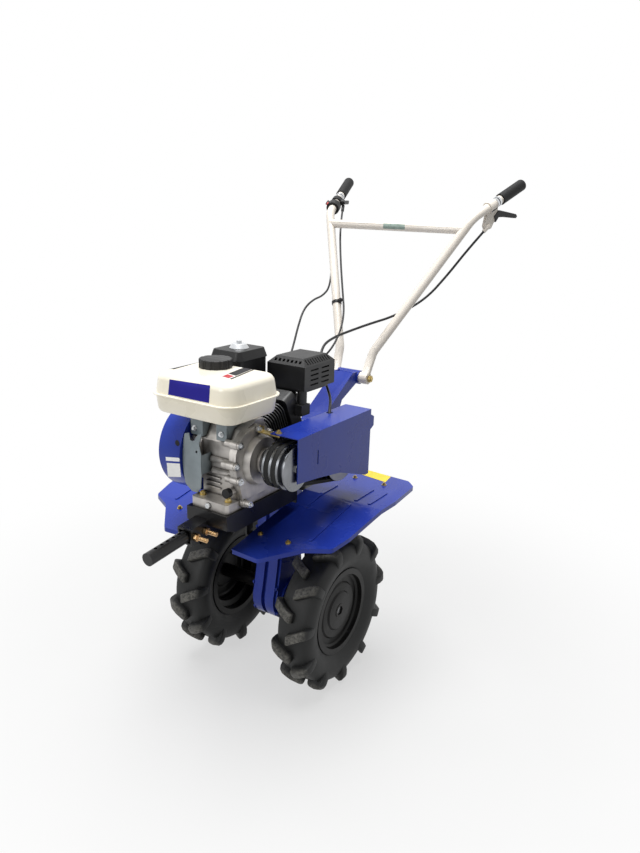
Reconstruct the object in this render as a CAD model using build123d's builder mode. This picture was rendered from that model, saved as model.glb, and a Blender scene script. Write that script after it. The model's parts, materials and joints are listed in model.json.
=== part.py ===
"""A walking power tiller: two lugged wheels on a tall chain case, a small four-stroke engine in front
that drives the case by two belts, and a pair of handles on a folded sheet column behind.

Millimetres. +X is the machine's left, where the belts run, +Y is its rear, +Z is up. The origin is on
the floor under the middle of the machine. Distances called back are measured behind the axle, and
heights from a level above the floor, which a finished piece is lifted by.
"""

import math
import os

from build123d import *

# Where the machine stands
axle_y = -146.7
floor_z = -9.0
play = 0.3

# Wheels
wheel_r = 212.0
track = 345.0
tyre_half = 52.0
carcass_r = 195.0
tyre_wall = 9.0
lugs_a_side = 11
lug_width = 28.0
lug_slant = 30.0
lug_phase = -9.4
lug_overhang = 2.0
lug_low_r = 158.0
rim_flange_r = 117.0
rim_seat_r = 101.5
rim_well_r = 86.0
rim_half = 36.0
rim_wall = 3.0
disc_out = 24.0
disc_step = 4.0
hex_flats = 23.0
hub_tube_r = 19.0
hub_flange_r = 46.0
hub_flange_wall = 6.0
hub_pin_r = 4.0
hub_in = 64.0
pin_step = 18.0

# Chain case
case_r = 64.0
case_neck = 45.0
case_neck_rise = 110.0
case_top = 672.0
case_head_half = 62.0
case_head_low = 500.0
case_flange_in = 6.0
case_flange_out = 34.0
case_step = 9.0
case_body_half = 40.0
seal_r = 32.0
seal_wall = 16.0

# Engine
engine_x = 45.0
crank_back = -233.0
crank_z = 673.0
base_z = 567.0
base_front = -337.0
base_length = 222.0
base_width = 106.0
base_wall = 22.0
foot_bolts_x, foot_bolts_y = 75.5, 176.0
lean = 25.0
shaft_r = 10.0

# Belt drive
engine_pulley_r = 52.0
driven_pulley_r = 74.0
pulley_in = 153.0
groove_pitch = 19.0
groove_depth = 11.0
groove_width = 13.0
driven_back = -6.0
driven_z = 648.0

# Belt guard
guard_in = 144.0
guard_out = 220.0
guard_front = -241.0
guard_rear = 82.0
guard_top = 744.0
guard_wall = 2.0

# Frame and front bar
frame_wall = 6.0
rail_height = 40.0
bar_x = 29.0
bar_z = 520.4
bar_r = 15.0
bar_seat_r = 14.7
bar_wall = 3.0
bar_reach = 114.0
bar_droop = 5.5
bar_gap = 3.0
bar_hole_r = 4.0
bar_hole_pitch = 18.0
sleeve_front = -400.0
sleeve_length = 140.0
sleeve_half = 20.0
set_bolt_r = 5.0
set_bolt_reach = 35.0

# Fenders
fender_in = 66.0
fender_out = 300.0
fender_wall = 2.0

# Column and handles
pivot_back = 342.0
pivot_z = 752.0
column_half = 32.0
column_wall = 4.0
column_slope = 33.3
column_web_back = 160.0
column_web_z = 676.0
hub_r = 20.0
arm_r = 13.0
arm_wall = 2.5
arm_x = 50.0
bend_x, bend_back, bend_z = 57.0, 374.0, 825.0
joint_x, joint_back, joint_z = 227.0, 569.0, 1175.0
top_x, top_back, top_z = 243.0, 587.0, 1207.0
tip_x, tip_back, tip_z = 303.0, 797.0, 1306.0
crossbar_r = 13.0
grip_r = 17.0
grip_length = 112.0

# Hitch and depth stake
hitch_back = 150.0
hitch_z = 380.0
stake_width = 30.0
stake_depth = 14.0


def place(x, back, z):
    """A point of the machine, given by its distance behind the axle."""
    return (x, axle_y + back, z)


def turned_about_x(x, back, z):
    """The plane whose own x runs along the machine's X, for profiles that are turned about it."""
    return Plane(origin=place(x, back, z), x_dir=(1, 0, 0), z_dir=(0, -1, 0))


def side_plane(x):
    """The plane seen from the machine's left at x: its own x runs to the rear, its own y runs up."""
    return Plane(origin=(x, 0, 0), x_dir=(0, 1, 0), z_dir=(1, 0, 0))


def x_axis_at(back, z):
    return Axis(place(0, back, z), (1, 0, 0))


def finish(part, name):
    """Lifts a finished piece to its height above the floor, labels it and writes it under its name."""
    part = Pos(0, 0, -floor_z) * part
    part.label = name
    export_step(part, f"parts/{name}.step")
    made[name] = part


made = {}
os.makedirs("parts", exist_ok=True)

axle_z = floor_z + wheel_r
axle_bore_r = hex_flats / math.sqrt(3) + 0.06
axle_axis = x_axis_at(0, axle_z)


# Wheels: a hexagonal axle, two pressed rims and two lugged tyres turn as one
def tyre(side):
    """A hollow carcass, open at its beads, with staggered oblique lugs on either side of the middle."""
    centre = side * track / 2
    plane = turned_about_x(centre, 0, axle_z)
    bead_r = rim_seat_r + rim_wall + play
    lip = rim_half - rim_wall - play
    with BuildPart() as made_tyre:
        with BuildSketch(plane):
            with BuildLine():
                outer = Polyline((-lip, bead_r), (-lip, rim_flange_r), (-tyre_half, 146),
                                 (-tyre_half + 12, carcass_r - 5), (tyre_half - 12, carcass_r - 5),
                                 (tyre_half, 146), (lip, rim_flange_r), (lip, bead_r))
                Polyline(outer @ 1, (lip - tyre_wall, bead_r), (tyre_half - tyre_wall, 144),
                         (tyre_half - 12 - tyre_wall, carcass_r - 5 - tyre_wall),
                         (-tyre_half + 12 + tyre_wall, carcass_r - 5 - tyre_wall),
                         (-tyre_half + tyre_wall, 144), (-lip + tyre_wall, bead_r), outer @ 0)
            make_face()
        revolve(axis=axle_axis)
        add(lugs(centre))
    return made_tyre.part


def lugs(centre):
    """Oblique bars that stand on the tread and run down over its shoulders, staggered left and right."""
    foot_r = carcass_r - tyre_wall - 3
    slant = math.radians(lug_slant)
    with BuildPart(mode=Mode.PRIVATE) as bars:
        for half in (-1, 1):
            for i in range(lugs_a_side):
                turn = 360 / lugs_a_side * (i + (0 if half > 0 else 0.5)) + lug_phase
                radial = Vector(0, 0, 1).rotate(Axis.X, turn)
                tangent = Vector(0, 1, 0).rotate(Axis.X, turn)
                along = Vector(half * math.cos(slant), 0, 0) + tangent * math.sin(slant)
                reach = (tyre_half + lug_overhang) / math.cos(slant)
                lowered = wheel_r - (reach * math.sin(slant) + lug_width / 2) ** 2 / (2 * wheel_r)
                bar_plane = Plane(origin=Vector(*place(centre, 0, axle_z)), x_dir=along,
                                  z_dir=along.cross(radial))
                with BuildSketch(bar_plane):
                    with BuildLine():
                        Polyline((-3, foot_r), (-3, carcass_r + 5), (3, wheel_r - 0.4),
                                 (reach - 9, lowered), (reach, lowered - 12), (reach, lug_low_r),
                                 (reach - 14, foot_r - 10), close=True)
                    make_face()
                extrude(amount=lug_width / 2, both=True)
    return bars.part


def disc_face(shift):
    """The disc's pressed steps, from its hole to the rim's well, as side offsets and radii."""
    return tuple((disc_out + step + shift, r) for step, r in (
        (disc_step, hub_tube_r + play), (disc_step, 50), (0, 54), (0, 74), (-disc_step, 78),
        (-disc_step, 94.5)))


def rim(side):
    """A pressed two-flange rim with a drop centre and a stepped disc."""
    plane = turned_about_x(side * track / 2, 0, axle_z)
    edge, well, seat = rim_half, rim_well_r, rim_seat_r
    with BuildPart() as pressed:
        with BuildSketch(plane):
            with BuildLine():
                Polyline(*[(side * x, r) for x, r in (
                    (-edge, rim_flange_r), (-edge, seat), (-14, seat - 2), (-8, well),
                    (edge - 22, well), (edge - 12, seat - 2), (edge, seat), (edge, rim_flange_r),
                    (edge - rim_wall, rim_flange_r), (edge - rim_wall, seat + rim_wall),
                    (edge - 13, seat + rim_wall - 2), (edge - 23, well + rim_wall),
                    (-7, well + rim_wall), (-13, seat + rim_wall - 2),
                    (-edge + rim_wall, seat + rim_wall), (-edge + rim_wall, rim_flange_r))], close=True)
            make_face()
        revolve(axis=axle_axis)
        with BuildSketch(plane):
            with BuildLine():
                Polyline(*[(side * x, r) for x, r in (
                    disc_face(0) + tuple(reversed(disc_face(-rim_wall))))], close=True)
            make_face()
        revolve(axis=axle_axis)
    return pressed.part


def wheel_hub(side):
    """A flanged tube with a hexagonal bore, welded behind the rim's disc and pinned to the axle."""
    flange_x = side * (track / 2 + disc_out + disc_step - rim_wall)
    end_x = track / 2 + disc_out + disc_step + 1
    with BuildPart() as hub:
        with BuildSketch(side_plane(side * hub_in)):
            with Locations((axle_y, axle_z)):
                Circle(hub_tube_r)
                RegularPolygon(hex_flats / 2 + 0.1, 6, major_radius=False, mode=Mode.SUBTRACT)
        extrude(amount=side * (end_x - hub_in))
        with BuildSketch(side_plane(flange_x)):
            with Locations((axle_y, axle_z)):
                Circle(hub_flange_r)
                Circle(hub_tube_r - 1, mode=Mode.SUBTRACT)
        extrude(amount=-side * hub_flange_wall)
        with BuildSketch(Plane.XY.offset(axle_z - hub_tube_r - 2)):
            with Locations((side * (hub_in + pin_step), axle_y)):
                Circle(hub_pin_r)
        extrude(amount=2 * hub_tube_r + 4, mode=Mode.SUBTRACT)
    return hub.part


def axle():
    """The hexagonal shaft through the case and both hubs, its ends just inside them."""
    length = track + 2 * disc_out
    with BuildPart() as shaft:
        with BuildSketch(side_plane(-length / 2)):
            with Locations((axle_y, axle_z)):
                RegularPolygon(hex_flats / 2, 6, major_radius=False)
        extrude(amount=length)
        for side in (-1, 1):
            with BuildSketch(Plane.XY.offset(axle_z - hex_flats)):
                with Locations((side * (hub_in + pin_step), axle_y)):
                    Circle(hub_pin_r)
            extrude(amount=2 * hex_flats, mode=Mode.SUBTRACT)
    return shaft.part


def hub_pins():
    """The headed pins that hold both hubs on the axle."""
    with BuildPart() as pins:
        for side in (-1, 1):
            with BuildSketch(Plane.XY.offset(axle_z - hub_tube_r - 5)):
                with Locations((side * (hub_in + pin_step), axle_y)):
                    Circle(hub_pin_r - 0.1)
            extrude(amount=2 * hub_tube_r + 5)
            with BuildSketch(Plane.XY.offset(axle_z + hub_tube_r)):
                with Locations((side * (hub_in + pin_step), axle_y)):
                    RegularPolygon(7, 6)
            extrude(amount=5)
    return pins.part


for side, word in ((1, "left"), (-1, "right")):
    finish(tyre(side), f"tyre_{word}")
    finish(rim(side), f"rim_{word}")
    finish(wheel_hub(side), f"wheel_hub_{word}")
finish(axle(), "axle_shaft")
finish(hub_pins(), "hub_pins")


# Chain case: two ribbed halves with their flanges apart on a recessed spacer
def case_outline(grow):
    """The case seen from the side: round at the axle, narrow at the neck, square at the head."""
    neck = case_neck + grow
    head = case_head_half + grow
    with BuildSketch(Plane.XY) as outline:
        with Locations((0, axle_z)):
            Circle(case_r + grow)
        with BuildLine():
            Polyline((-neck, axle_z + case_neck_rise), (-(case_r + grow) * 0.94, axle_z + 22),
                     (0, axle_z), ((case_r + grow) * 0.94, axle_z + 22), (neck, axle_z + case_neck_rise),
                     (neck, case_head_low), (head, case_head_low + 40), (head, case_top + grow),
                     (-head, case_top + grow), (-head, case_head_low + 40), (-neck, case_head_low),
                     close=True)
        make_face()
    return outline.sketch


def case_half(side):
    body = case_outline(0)
    flange = case_outline(case_step)
    with BuildPart() as half:
        with BuildSketch(side_plane(side * case_flange_in)):
            with Locations((axle_y, 0)):
                add(flange)
        extrude(amount=side * (case_flange_out - case_flange_in))
        with BuildSketch(side_plane(side * case_flange_out)):
            with Locations((axle_y, 0)):
                add(body)
        extrude(amount=side * (case_body_half - case_flange_out))
        with BuildSketch(side_plane(side * case_body_half)):
            with Locations((axle_y, axle_z)):
                Circle(seal_r + 12)
        extrude(amount=side * 6)
        with BuildSketch(side_plane(side * case_body_half)):
            with Locations((axle_y, axle_z)):
                Circle(seal_r)
        extrude(amount=side * seal_wall)
        with BuildSketch(side_plane(0)):
            with Locations((axle_y, axle_z)):
                Circle(axle_bore_r)
        extrude(amount=side * 100, mode=Mode.SUBTRACT)
        if side > 0:
            with BuildSketch(side_plane(case_body_half)):
                with Locations((axle_y + driven_back, driven_z)):
                    Circle(30)
            extrude(amount=60, taper=4)
        with BuildSketch(side_plane(0)):
            with Locations((axle_y + driven_back, driven_z)):
                Circle(shaft_r + 0.05 + 2)
        extrude(amount=side * 110, mode=Mode.SUBTRACT)
    return half.part


def case_spacer():
    with BuildPart() as spacer:
        with BuildSketch(side_plane(-case_flange_in)):
            with Locations((axle_y, 0)):
                add(case_outline(-3))
            with Locations((axle_y, axle_z)):
                Circle(axle_bore_r, mode=Mode.SUBTRACT)
            with Locations((axle_y + driven_back, driven_z)):
                Circle(shaft_r + 2.05, mode=Mode.SUBTRACT)
        extrude(amount=2 * case_flange_in)
    return spacer.part


for side, word in ((1, "left"), (-1, "right")):
    finish(case_half(side), f"case_half_{word}")
finish(case_spacer(), "case_spacer")


# Engine: an aluminium crankcase in front of a finned cylinder that leans far back
def lean_plane(distance, x=engine_x):
    """A plane across the cylinder, at a distance from the crankshaft along the leaning bore."""
    up = math.radians(lean)
    normal = Vector(0, math.cos(up), math.sin(up))
    return Plane(origin=Vector(*place(x, crank_back, crank_z)) + normal * distance,
                 x_dir=(1, 0, 0), z_dir=normal)


case_in = engine_x - base_width / 2
case_out = engine_x + base_width / 2
case_front = -294.0
barrel_start, head_start, cover_start, cover_end = 62.0, 150.0, 188.0, 214.0
blower_in = case_in - 32
blower_out = case_in - 100
blower_r = 105.0
sheet = 2.0
filler_x, filler_z, filler_length = 84.0, 611.0, 19.0


def side_prism(points, x_from, x_to):
    """A solid whose side outline is given by points behind the axle and above the floor."""
    with BuildPart(mode=Mode.PRIVATE) as prism:
        with BuildSketch(side_plane(x_from)):
            with BuildLine():
                Polyline(*[(axle_y + back, z) for back, z in points], close=True)
            make_face()
        extrude(amount=x_to - x_from)
    return prism.part


cover_bolts = ((-306, 724), (-318, 678), (-306, 640), (-240, 748), (-195, 727), (-164, 655), (-172, 606),
               (-285, 582))
joint_wall = 10.0


def joint_outline():
    """The face between the case and its cover, with a lobe round each bolt."""
    with BuildSketch(Plane.XY) as outline:
        with BuildLine():
            Polyline(*[(axle_y + back, z) for back, z in (
                (-292, 590), (-300, 620), (-312, 650), (-319, 678), (-316, 706), (-302, 732),
                (-276, 750), (-236, 757), (-205, 746), (-182, 705), (-156, 645), (-160, 600),
                (-190, 590))], close=True)
        make_face()
        with Locations(*[(axle_y + back, z) for back, z in cover_bolts]):
            Circle(10)
    return outline.sketch


def crankcase():
    """The cast block on its base, with ribs, bolt bosses, an oil filler and the flywheel's wall."""
    top = base_z + base_wall
    with BuildPart() as block:
        with BuildSketch(Plane.XY.offset(base_z)):
            with Locations((engine_x, axle_y + base_front + base_length / 2)):
                RectangleRounded(base_width, base_length, 8)
                with GridLocations(foot_bolts_x, foot_bolts_y, 2, 2):
                    Circle(4.5, mode=Mode.SUBTRACT)
        extrude(amount=base_wall)
        add(side_prism([(case_front, top), (case_front, 716), (-276, 748), (-236, 764), (-207, 764),
                        (-125, top)], case_in, case_out))
        with BuildSketch(side_plane(case_out - joint_wall)):
            add(joint_outline())
        extrude(amount=joint_wall)
        with BuildSketch(side_plane(case_out - 26)):
            with Locations(*[(axle_y + back, z) for back, z in cover_bolts[:3]]):
                Circle(8)
        extrude(amount=26)
        for x_from, back, height in ((52, -292, 716), (20, -296, 674), (24, -296, 647)):
            with BuildSketch(side_plane(x_from)):
                with Locations((axle_y + back, height)):
                    Circle(7)
            extrude(amount=case_out - joint_wall / 2 - x_from)
        for height in (604, 616, 628):
            with BuildSketch(Plane.XY.offset(height)):
                with Locations((24, axle_y + case_front)):
                    Rectangle(44, 8)
            extrude(amount=3)
        with BuildSketch(Plane.XZ.offset(-(axle_y + case_front + 1))):
            with Locations((filler_x, filler_z)):
                Circle(9)
        extrude(amount=filler_length)
        with BuildSketch(side_plane(blower_in + play)):
            with Locations((axle_y + crank_back, crank_z)):
                Circle(76)
        extrude(amount=case_in - blower_in)
        with BuildSketch(side_plane(case_out - 1)):
            with Locations((axle_y + crank_back, crank_z)):
                Circle(shaft_r + 2)
        extrude(amount=-30, mode=Mode.SUBTRACT)
    return block.part


cover_out = case_out + 24


def side_cover():
    """The cover that closes the case on the shaft side, with its bolt bosses and bearing hub."""
    with BuildPart() as cover:
        with BuildSketch(side_plane(case_out)):
            add(joint_outline())
        extrude(amount=9)
        with BuildSketch(side_plane(case_out + 9)):
            with Locations((axle_y + crank_back, crank_z)):
                Circle(60)
        extrude(amount=cover_out - case_out - 9, taper=22)
        with BuildSketch(side_plane(case_out)):
            with Locations((axle_y + crank_back, crank_z)):
                Circle(30)
        extrude(amount=cover_out - case_out + 8)
        with BuildSketch(side_plane(case_out)):
            with Locations(*[(axle_y + back, z) for back, z in cover_bolts]):
                Circle(9)
        extrude(amount=14)
        with BuildSketch(side_plane(case_out)):
            with Locations((axle_y + cover_bolts[-1][0], cover_bolts[-1][1])):
                Circle(8)
        extrude(amount=24)
        with BuildSketch(side_plane(case_out)):
            with Locations((axle_y + crank_back, crank_z)):
                Circle(shaft_r + 0.05)
        extrude(amount=60, mode=Mode.SUBTRACT)
    return cover.part


def cylinder():
    """The barrel with its cooling fins and head, all in one casting colour."""
    with BuildPart() as barrel:
        with BuildSketch(lean_plane(barrel_start + play)):
            Circle(38)
        extrude(amount=head_start - barrel_start - play)
        for i in range(9):
            with BuildSketch(lean_plane(barrel_start + 10 + 8 * i)):
                RectangleRounded(100, 104, 20)
            extrude(amount=3)
        with BuildSketch(lean_plane(head_start)):
            RectangleRounded(104, 108, 12)
        extrude(amount=cover_start - head_start)
    return barrel.part


def valve_cover():
    with BuildPart() as cover:
        with BuildSketch(lean_plane(cover_start)):
            RectangleRounded(84, 76, 14)
        extrude(amount=cover_end - cover_start)
        fillet(cover.faces().sort_by(Axis((0, 0, 0), (0, 1, 0.46)))[-1].edges(), 6)
    return cover.part


def scroll(inset, x_from, x_to):
    """The fan housing's outline, round the crankshaft with a nose over the fins, as a solid."""
    with BuildPart(mode=Mode.PRIVATE) as form:
        with BuildSketch(side_plane(x_from)):
            with Locations((axle_y + crank_back, crank_z)):
                Circle(blower_r - inset)
            with Locations((axle_y + crank_back + 85, crank_z + 45)):
                Circle(46 - inset)
            make_hull()
        extrude(amount=x_to - x_from)
    return form.part


def blower_housing():
    """The sheet housing round the flywheel fan, holed towards the engine and the starter."""
    with BuildPart() as housing:
        add(scroll(0, blower_in, blower_out))
        fillet(housing.faces().sort_by(Axis.X)[0].edges(), 5)
        add(scroll(sheet, blower_in - sheet, blower_out + sheet), mode=Mode.SUBTRACT)
        with BuildSketch(side_plane(blower_in - 5)):
            with Locations((axle_y + crank_back, crank_z)):
                Circle(66)
        extrude(amount=12, mode=Mode.SUBTRACT)
        with BuildSketch(side_plane(blower_out - 5)):
            with Locations((axle_y + crank_back, crank_z)):
                Circle(70)
        extrude(amount=12, mode=Mode.SUBTRACT)
    return housing.part


def recoil_starter():
    """The starter's dished cover with its cooling slots."""
    with BuildPart() as starter:
        with BuildSketch(turned_about_x(blower_out - play, crank_back, crank_z)):
            with BuildLine():
                Polyline((0, 84), (-14, 82), (-24, 70), (-24, 0), (-22, 0), (-22, 69), (-13, 80),
                         (-2, 81), (-2, 72), (0, 72), close=True)
            make_face()
        revolve(axis=x_axis_at(crank_back, crank_z))
        with BuildSketch(side_plane(blower_out - 30)):
            with Locations((axle_y + crank_back, crank_z)):
                with PolarLocations(50, 12):
                    Rectangle(26, 6)
        extrude(amount=18, mode=Mode.SUBTRACT)
    return starter.part


def starter_grip():
    """The pull grip that rests on the starter's rim, behind the tank."""
    outward = Vector(0, 1, 1).normalized()
    middle = Vector(*place(blower_out - play - 7, crank_back, crank_z)) + outward * (84 + play)
    with BuildPart() as grip:
        with BuildSketch(Plane(origin=middle, x_dir=(0, -1, 1), z_dir=outward)):
            SlotOverall(34, 12)
        extrude(amount=26)
    return grip.part


shroud_front, shroud_bow, shroud_mid_z = -330.0, 230.0, 668.0
shroud_edge_x = 17.0
shroud_outline = ((-38, 606), (-24, 589.4), (-6, 589.4), (8, 606), (shroud_edge_x, 640), (shroud_edge_x, 690),
                  (8, 712), (12, 735), (2, 733), (-8, 716), (-18, 716), (-26, 732), (-38, 728))


def shroud():
    """The grey sheet beside the blower: bowed, forked on top, with a flange back to the case."""
    with BuildPart() as plate:
        with BuildSketch(side_plane(blower_in + play)):
            with Locations((axle_y + shroud_front + shroud_bow, shroud_mid_z)):
                Circle(shroud_bow)
                Circle(shroud_bow - sheet, mode=Mode.SUBTRACT)
        extrude(amount=shroud_edge_x - blower_in)
        with BuildSketch(Plane.XZ.offset(-(axle_y + shroud_front + 30))):
            with BuildLine():
                Polyline(*shroud_outline, close=True)
            make_face()
        extrude(amount=60, mode=Mode.INTERSECT)
        add(side_prism([(shroud_front + 1.5, 642), (shroud_front + 1.5, 688), (case_front - play, 688),
                        (case_front - play, 642)], shroud_edge_x - sheet, shroud_edge_x))
        with BuildSketch(Plane.XZ.offset(-(axle_y + shroud_front + 30))):
            with Locations((3, 694)):
                Circle(3)
        extrude(amount=60, mode=Mode.SUBTRACT)
    return plate.part


tank_back = -306.0
tank_seam_z = 834.0
tank_low_z = 792.0
tank_high_z = 880.0
tank_half_x, tank_half_y = 121.0, 97.0
tank_flange = 6.0
tank_wall = 2.0
cap_x, cap_back, cap_top = 10.0, -268.0, 900.0
cap_r = 37.5


def tank_form(inset):
    """The tank without its seam flange, shrunk by an inset for the space inside."""
    wide, deep = 2 * (tank_half_x - tank_flange - inset), 2 * (tank_half_y - tank_flange - inset)
    with BuildPart(mode=Mode.PRIVATE) as form:
        with BuildSketch(Plane.XY.offset(tank_seam_z)):
            with Locations((engine_x, axle_y + tank_back)):
                RectangleRounded(wide, deep, 38 - inset)
        extrude(amount=tank_high_z - tank_seam_z - inset, taper=9)
        fillet(form.faces().sort_by(Axis.Z)[-1].edges(), 18 - inset)
        with BuildSketch(Plane.XY.offset(tank_seam_z)):
            with Locations((engine_x, axle_y + tank_back)):
                RectangleRounded(wide, deep, 38 - inset)
        extrude(amount=tank_low_z - tank_seam_z + inset, taper=7)
        fillet(form.faces().sort_by(Axis.Z)[0].edges(), 12 - inset)
    return form.part


def fuel_tank():
    """Two pressed halves on a seam flange, hollow, open under the cap."""
    with BuildPart() as tank:
        add(tank_form(0))
        with BuildSketch(Plane.XY.offset(tank_seam_z - 1.5)):
            with Locations((engine_x, axle_y + tank_back)):
                RectangleRounded(2 * tank_half_x, 2 * tank_half_y, 44)
        extrude(amount=3)
        add(tank_form(tank_wall), mode=Mode.SUBTRACT)
        with BuildSketch(Plane.XY.offset(tank_high_z - 10)):
            with Locations((cap_x, axle_y + cap_back)):
                Circle(22)
        extrude(amount=20, mode=Mode.SUBTRACT)
    return tank.part


def tank_brackets():
    """Pressed feet between the crankcase and the tank's floor, with tabs down the case's front."""
    underside = tank_low_z - play
    outline = [(-330, underside), (-330, underside - 4), (-303, 776), (-303, 724), (-290.2, 724),
               (-276.4, 748.6), (-236.1, 764.4), (-212, 764.4), (-212, underside)]
    with BuildPart() as feet:
        add(side_prism(outline, case_in - 28, case_in + 8))
        add(side_prism(outline, case_out - 58, case_out - 28))
    return feet.part


def fuel_cap():
    with BuildPart() as cap:
        with BuildSketch(Plane.XY.offset(tank_high_z + play)):
            with Locations((cap_x, axle_y + cap_back)):
                Circle(cap_r)
                with PolarLocations(cap_r + 2.5, 12):
                    Circle(4.5, mode=Mode.SUBTRACT)
        extrude(amount=cap_top - tank_high_z - play)
        chamfer(cap.faces().sort_by(Axis.Z)[-1].edges(), 1.5)
    return cap.part


cleaner_x, cleaner_back = -30.0, -136.0
cleaner_low, cleaner_top = 812.0, 900.0


def air_cleaner():
    with BuildPart() as box:
        with BuildSketch(Plane.XY.offset(cleaner_low)):
            with Locations((cleaner_x, axle_y + cleaner_back)):
                RectangleRounded(92, 112, 16)
        extrude(amount=cleaner_top - cleaner_low - 22)
        with BuildSketch(Plane.XY.offset(cleaner_top - 22)):
            with Locations((cleaner_x, axle_y + cleaner_back)):
                RectangleRounded(98, 118, 18)
        extrude(amount=22, taper=20)
    return box.part


def air_cleaner_knob():
    with BuildPart() as knob:
        with BuildSketch(Plane.XY.offset(cleaner_top)):
            with Locations((cleaner_x, axle_y + cleaner_back)):
                Circle(24)
        extrude(amount=10, taper=35)
        with BuildSketch(Plane.XY.offset(cleaner_top + 10)):
            with Locations((cleaner_x, axle_y + cleaner_back)):
                RegularPolygon(7, 6)
        extrude(amount=7)
    return knob.part


def carburettor():
    """The carburettor on the head's inner side, with its neck up to the air cleaner."""
    with BuildPart() as carb:
        with BuildSketch(Plane.XY.offset(748)):
            with Locations((-24, axle_y - 82)):
                Rectangle(33, 24)
        extrude(amount=42)
        with BuildSketch(Plane.XY.offset(790)):
            with Locations((-26, axle_y - 88)):
                Circle(11)
        extrude(amount=cleaner_low - 790)
        with BuildSketch(Plane.XY.offset(738)):
            with Locations((-24, axle_y - 82)):
                Circle(11)
        extrude(amount=10)
    return carb.part


guard_box = (8.0, 120.0, -74.0, 60.0, 802.0, 878.0)


def muffler_guard():
    """The pressed heat guard: a hollow box with a sloped rim, holes in the slopes and louvres."""
    x0, x1, y0, y1, z0, z1 = guard_box
    mid_x, mid_y = (x0 + x1) / 2, axle_y + (y0 + y1) / 2
    rim_drop = 17
    with BuildPart() as guard:
        with BuildSketch(Plane.XY.offset(z0)):
            with Locations((mid_x, mid_y)):
                Rectangle(x1 - x0, y1 - y0)
        extrude(amount=z1 - z0)
        chamfer(guard.faces().sort_by(Axis.Z)[-1].edges(), rim_drop)
        offset(amount=-2, openings=guard.faces().sort_by(Axis.Z)[0])
        with BuildSketch(side_plane(x1 - 6)):
            with Locations((mid_y, (z0 + z1 - rim_drop) / 2)):
                with GridLocations(48, 12, 2, 4):
                    Rectangle(34, 4)
        extrude(amount=12, mode=Mode.SUBTRACT)
        low, slope_z = rim_drop / 2, z1 - rim_drop / 2
        front_slope = Plane(origin=(mid_x, axle_y + y0 + low, slope_z), x_dir=(1, 0, 0), z_dir=(0, -1, 1))
        side_slope = Plane(origin=(x1 - low, mid_y, slope_z), x_dir=(0, 1, 0), z_dir=(1, 0, 1))
        for slope, count, pitch, width in ((front_slope, 7, 12, 6.5), (side_slope, 10, 10.5, 4)):
            with BuildSketch(slope.offset(-5)):
                with GridLocations(pitch, 1, count, 1):
                    Rectangle(width, 8 if slope is front_slope else 15)
            extrude(amount=10, mode=Mode.SUBTRACT)
    return guard.part


def muffler():
    """The silencer inside its guard, with the pipe down to the head."""
    x0, x1, y0, y1, z0, z1 = guard_box
    with BuildPart() as can:
        with BuildSketch(Plane.XY.offset(z0 - 6)):
            with Locations(((x0 + x1) / 2, axle_y + (y0 + y1) / 2)):
                RectangleRounded(x1 - x0 - 14, y1 - y0 - 14, 24)
        extrude(amount=z1 - z0 - 8)
        with BuildSketch(Plane.XY.offset(z0 - 6 + sheet)):
            with Locations(((x0 + x1) / 2, axle_y + (y0 + y1) / 2)):
                RectangleRounded(x1 - x0 - 14 - 2 * sheet, y1 - y0 - 14 - 2 * sheet, 24 - sheet)
        extrude(amount=z1 - z0 - 8 - 2 * sheet, mode=Mode.SUBTRACT)
        with BuildSketch(Plane.XY.offset(742)):
            with Locations((108, axle_y - 64)):
                Rectangle(21.4, 36)
        extrude(amount=26)
        with BuildSketch(Plane.XY.offset(768)):
            with Locations((104, axle_y - 60)):
                Circle(12)
        extrude(amount=z0 - 768)
    return can.part


def oil_plugs():
    """The dipstick's cap at the case's foot and the drain bolt in the base."""
    with BuildPart() as plugs:
        with BuildSketch(Plane.XZ.offset(-(axle_y + case_front + 1 - filler_length - play))):
            with Locations((filler_x, filler_z)):
                Circle(11)
        extrude(amount=13)
        with BuildSketch(Plane.XZ.offset(-(axle_y + base_front - play))):
            with Locations((engine_x, base_z + 11)):
                RegularPolygon(7, 6)
        extrude(amount=6)
    return plugs.part


# Belt drive
def grooved_pulley(back, z, radius, grooves, bore):
    """A turned pulley whose grooves line up with the other pulley's."""
    plane = turned_about_x(pulley_in, back, z)
    land = groove_pitch - groove_width
    points = [(0, bore), (0, radius)]
    for i in range(grooves):
        start = land / 2 + 2 + i * groove_pitch
        points += [(start, radius), (start + 3, radius - groove_depth),
                   (start + groove_width - 3, radius - groove_depth), (start + groove_width, radius)]
    width = grooves * groove_pitch + 4 - land / 2 + 1
    points += [(width, radius), (width, bore)]
    with BuildPart() as pulley:
        with BuildSketch(plane):
            with BuildLine():
                Polyline(*points, close=True)
            make_face()
        revolve(axis=x_axis_at(back, z))
    return pulley.part


def shaft_piece(back, z, x_from, x_to):
    with BuildPart() as shaft:
        with BuildSketch(side_plane(x_from)):
            with Locations((axle_y + back, z)):
                Circle(shaft_r)
        extrude(amount=x_to - x_from)
    return shaft.part


def belt_loop(grow):
    """The closed line of a belt round both pulleys, grown outwards from the pulleys' rims."""
    gap_y, gap_z = driven_back - crank_back, driven_z - crank_z
    span = math.hypot(gap_y, gap_z)
    heading = math.degrees(math.atan2(gap_z, gap_y))
    small, large = engine_pulley_r + grow, driven_pulley_r + grow
    lap = math.degrees(math.acos((small - large) / span))
    front = (axle_y + crank_back, crank_z)
    rear = (axle_y + driven_back, driven_z)
    with BuildSketch(Plane.XY) as loop:
        with BuildLine():
            round_front = CenterArc(front, small, heading + lap, 360 - 2 * lap)
            round_rear = CenterArc(rear, large, heading - lap, 2 * lap)
            Line(round_front @ 1, round_rear @ 0)
            Line(round_rear @ 1, round_front @ 0)
        make_face()
    return loop.sketch


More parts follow.
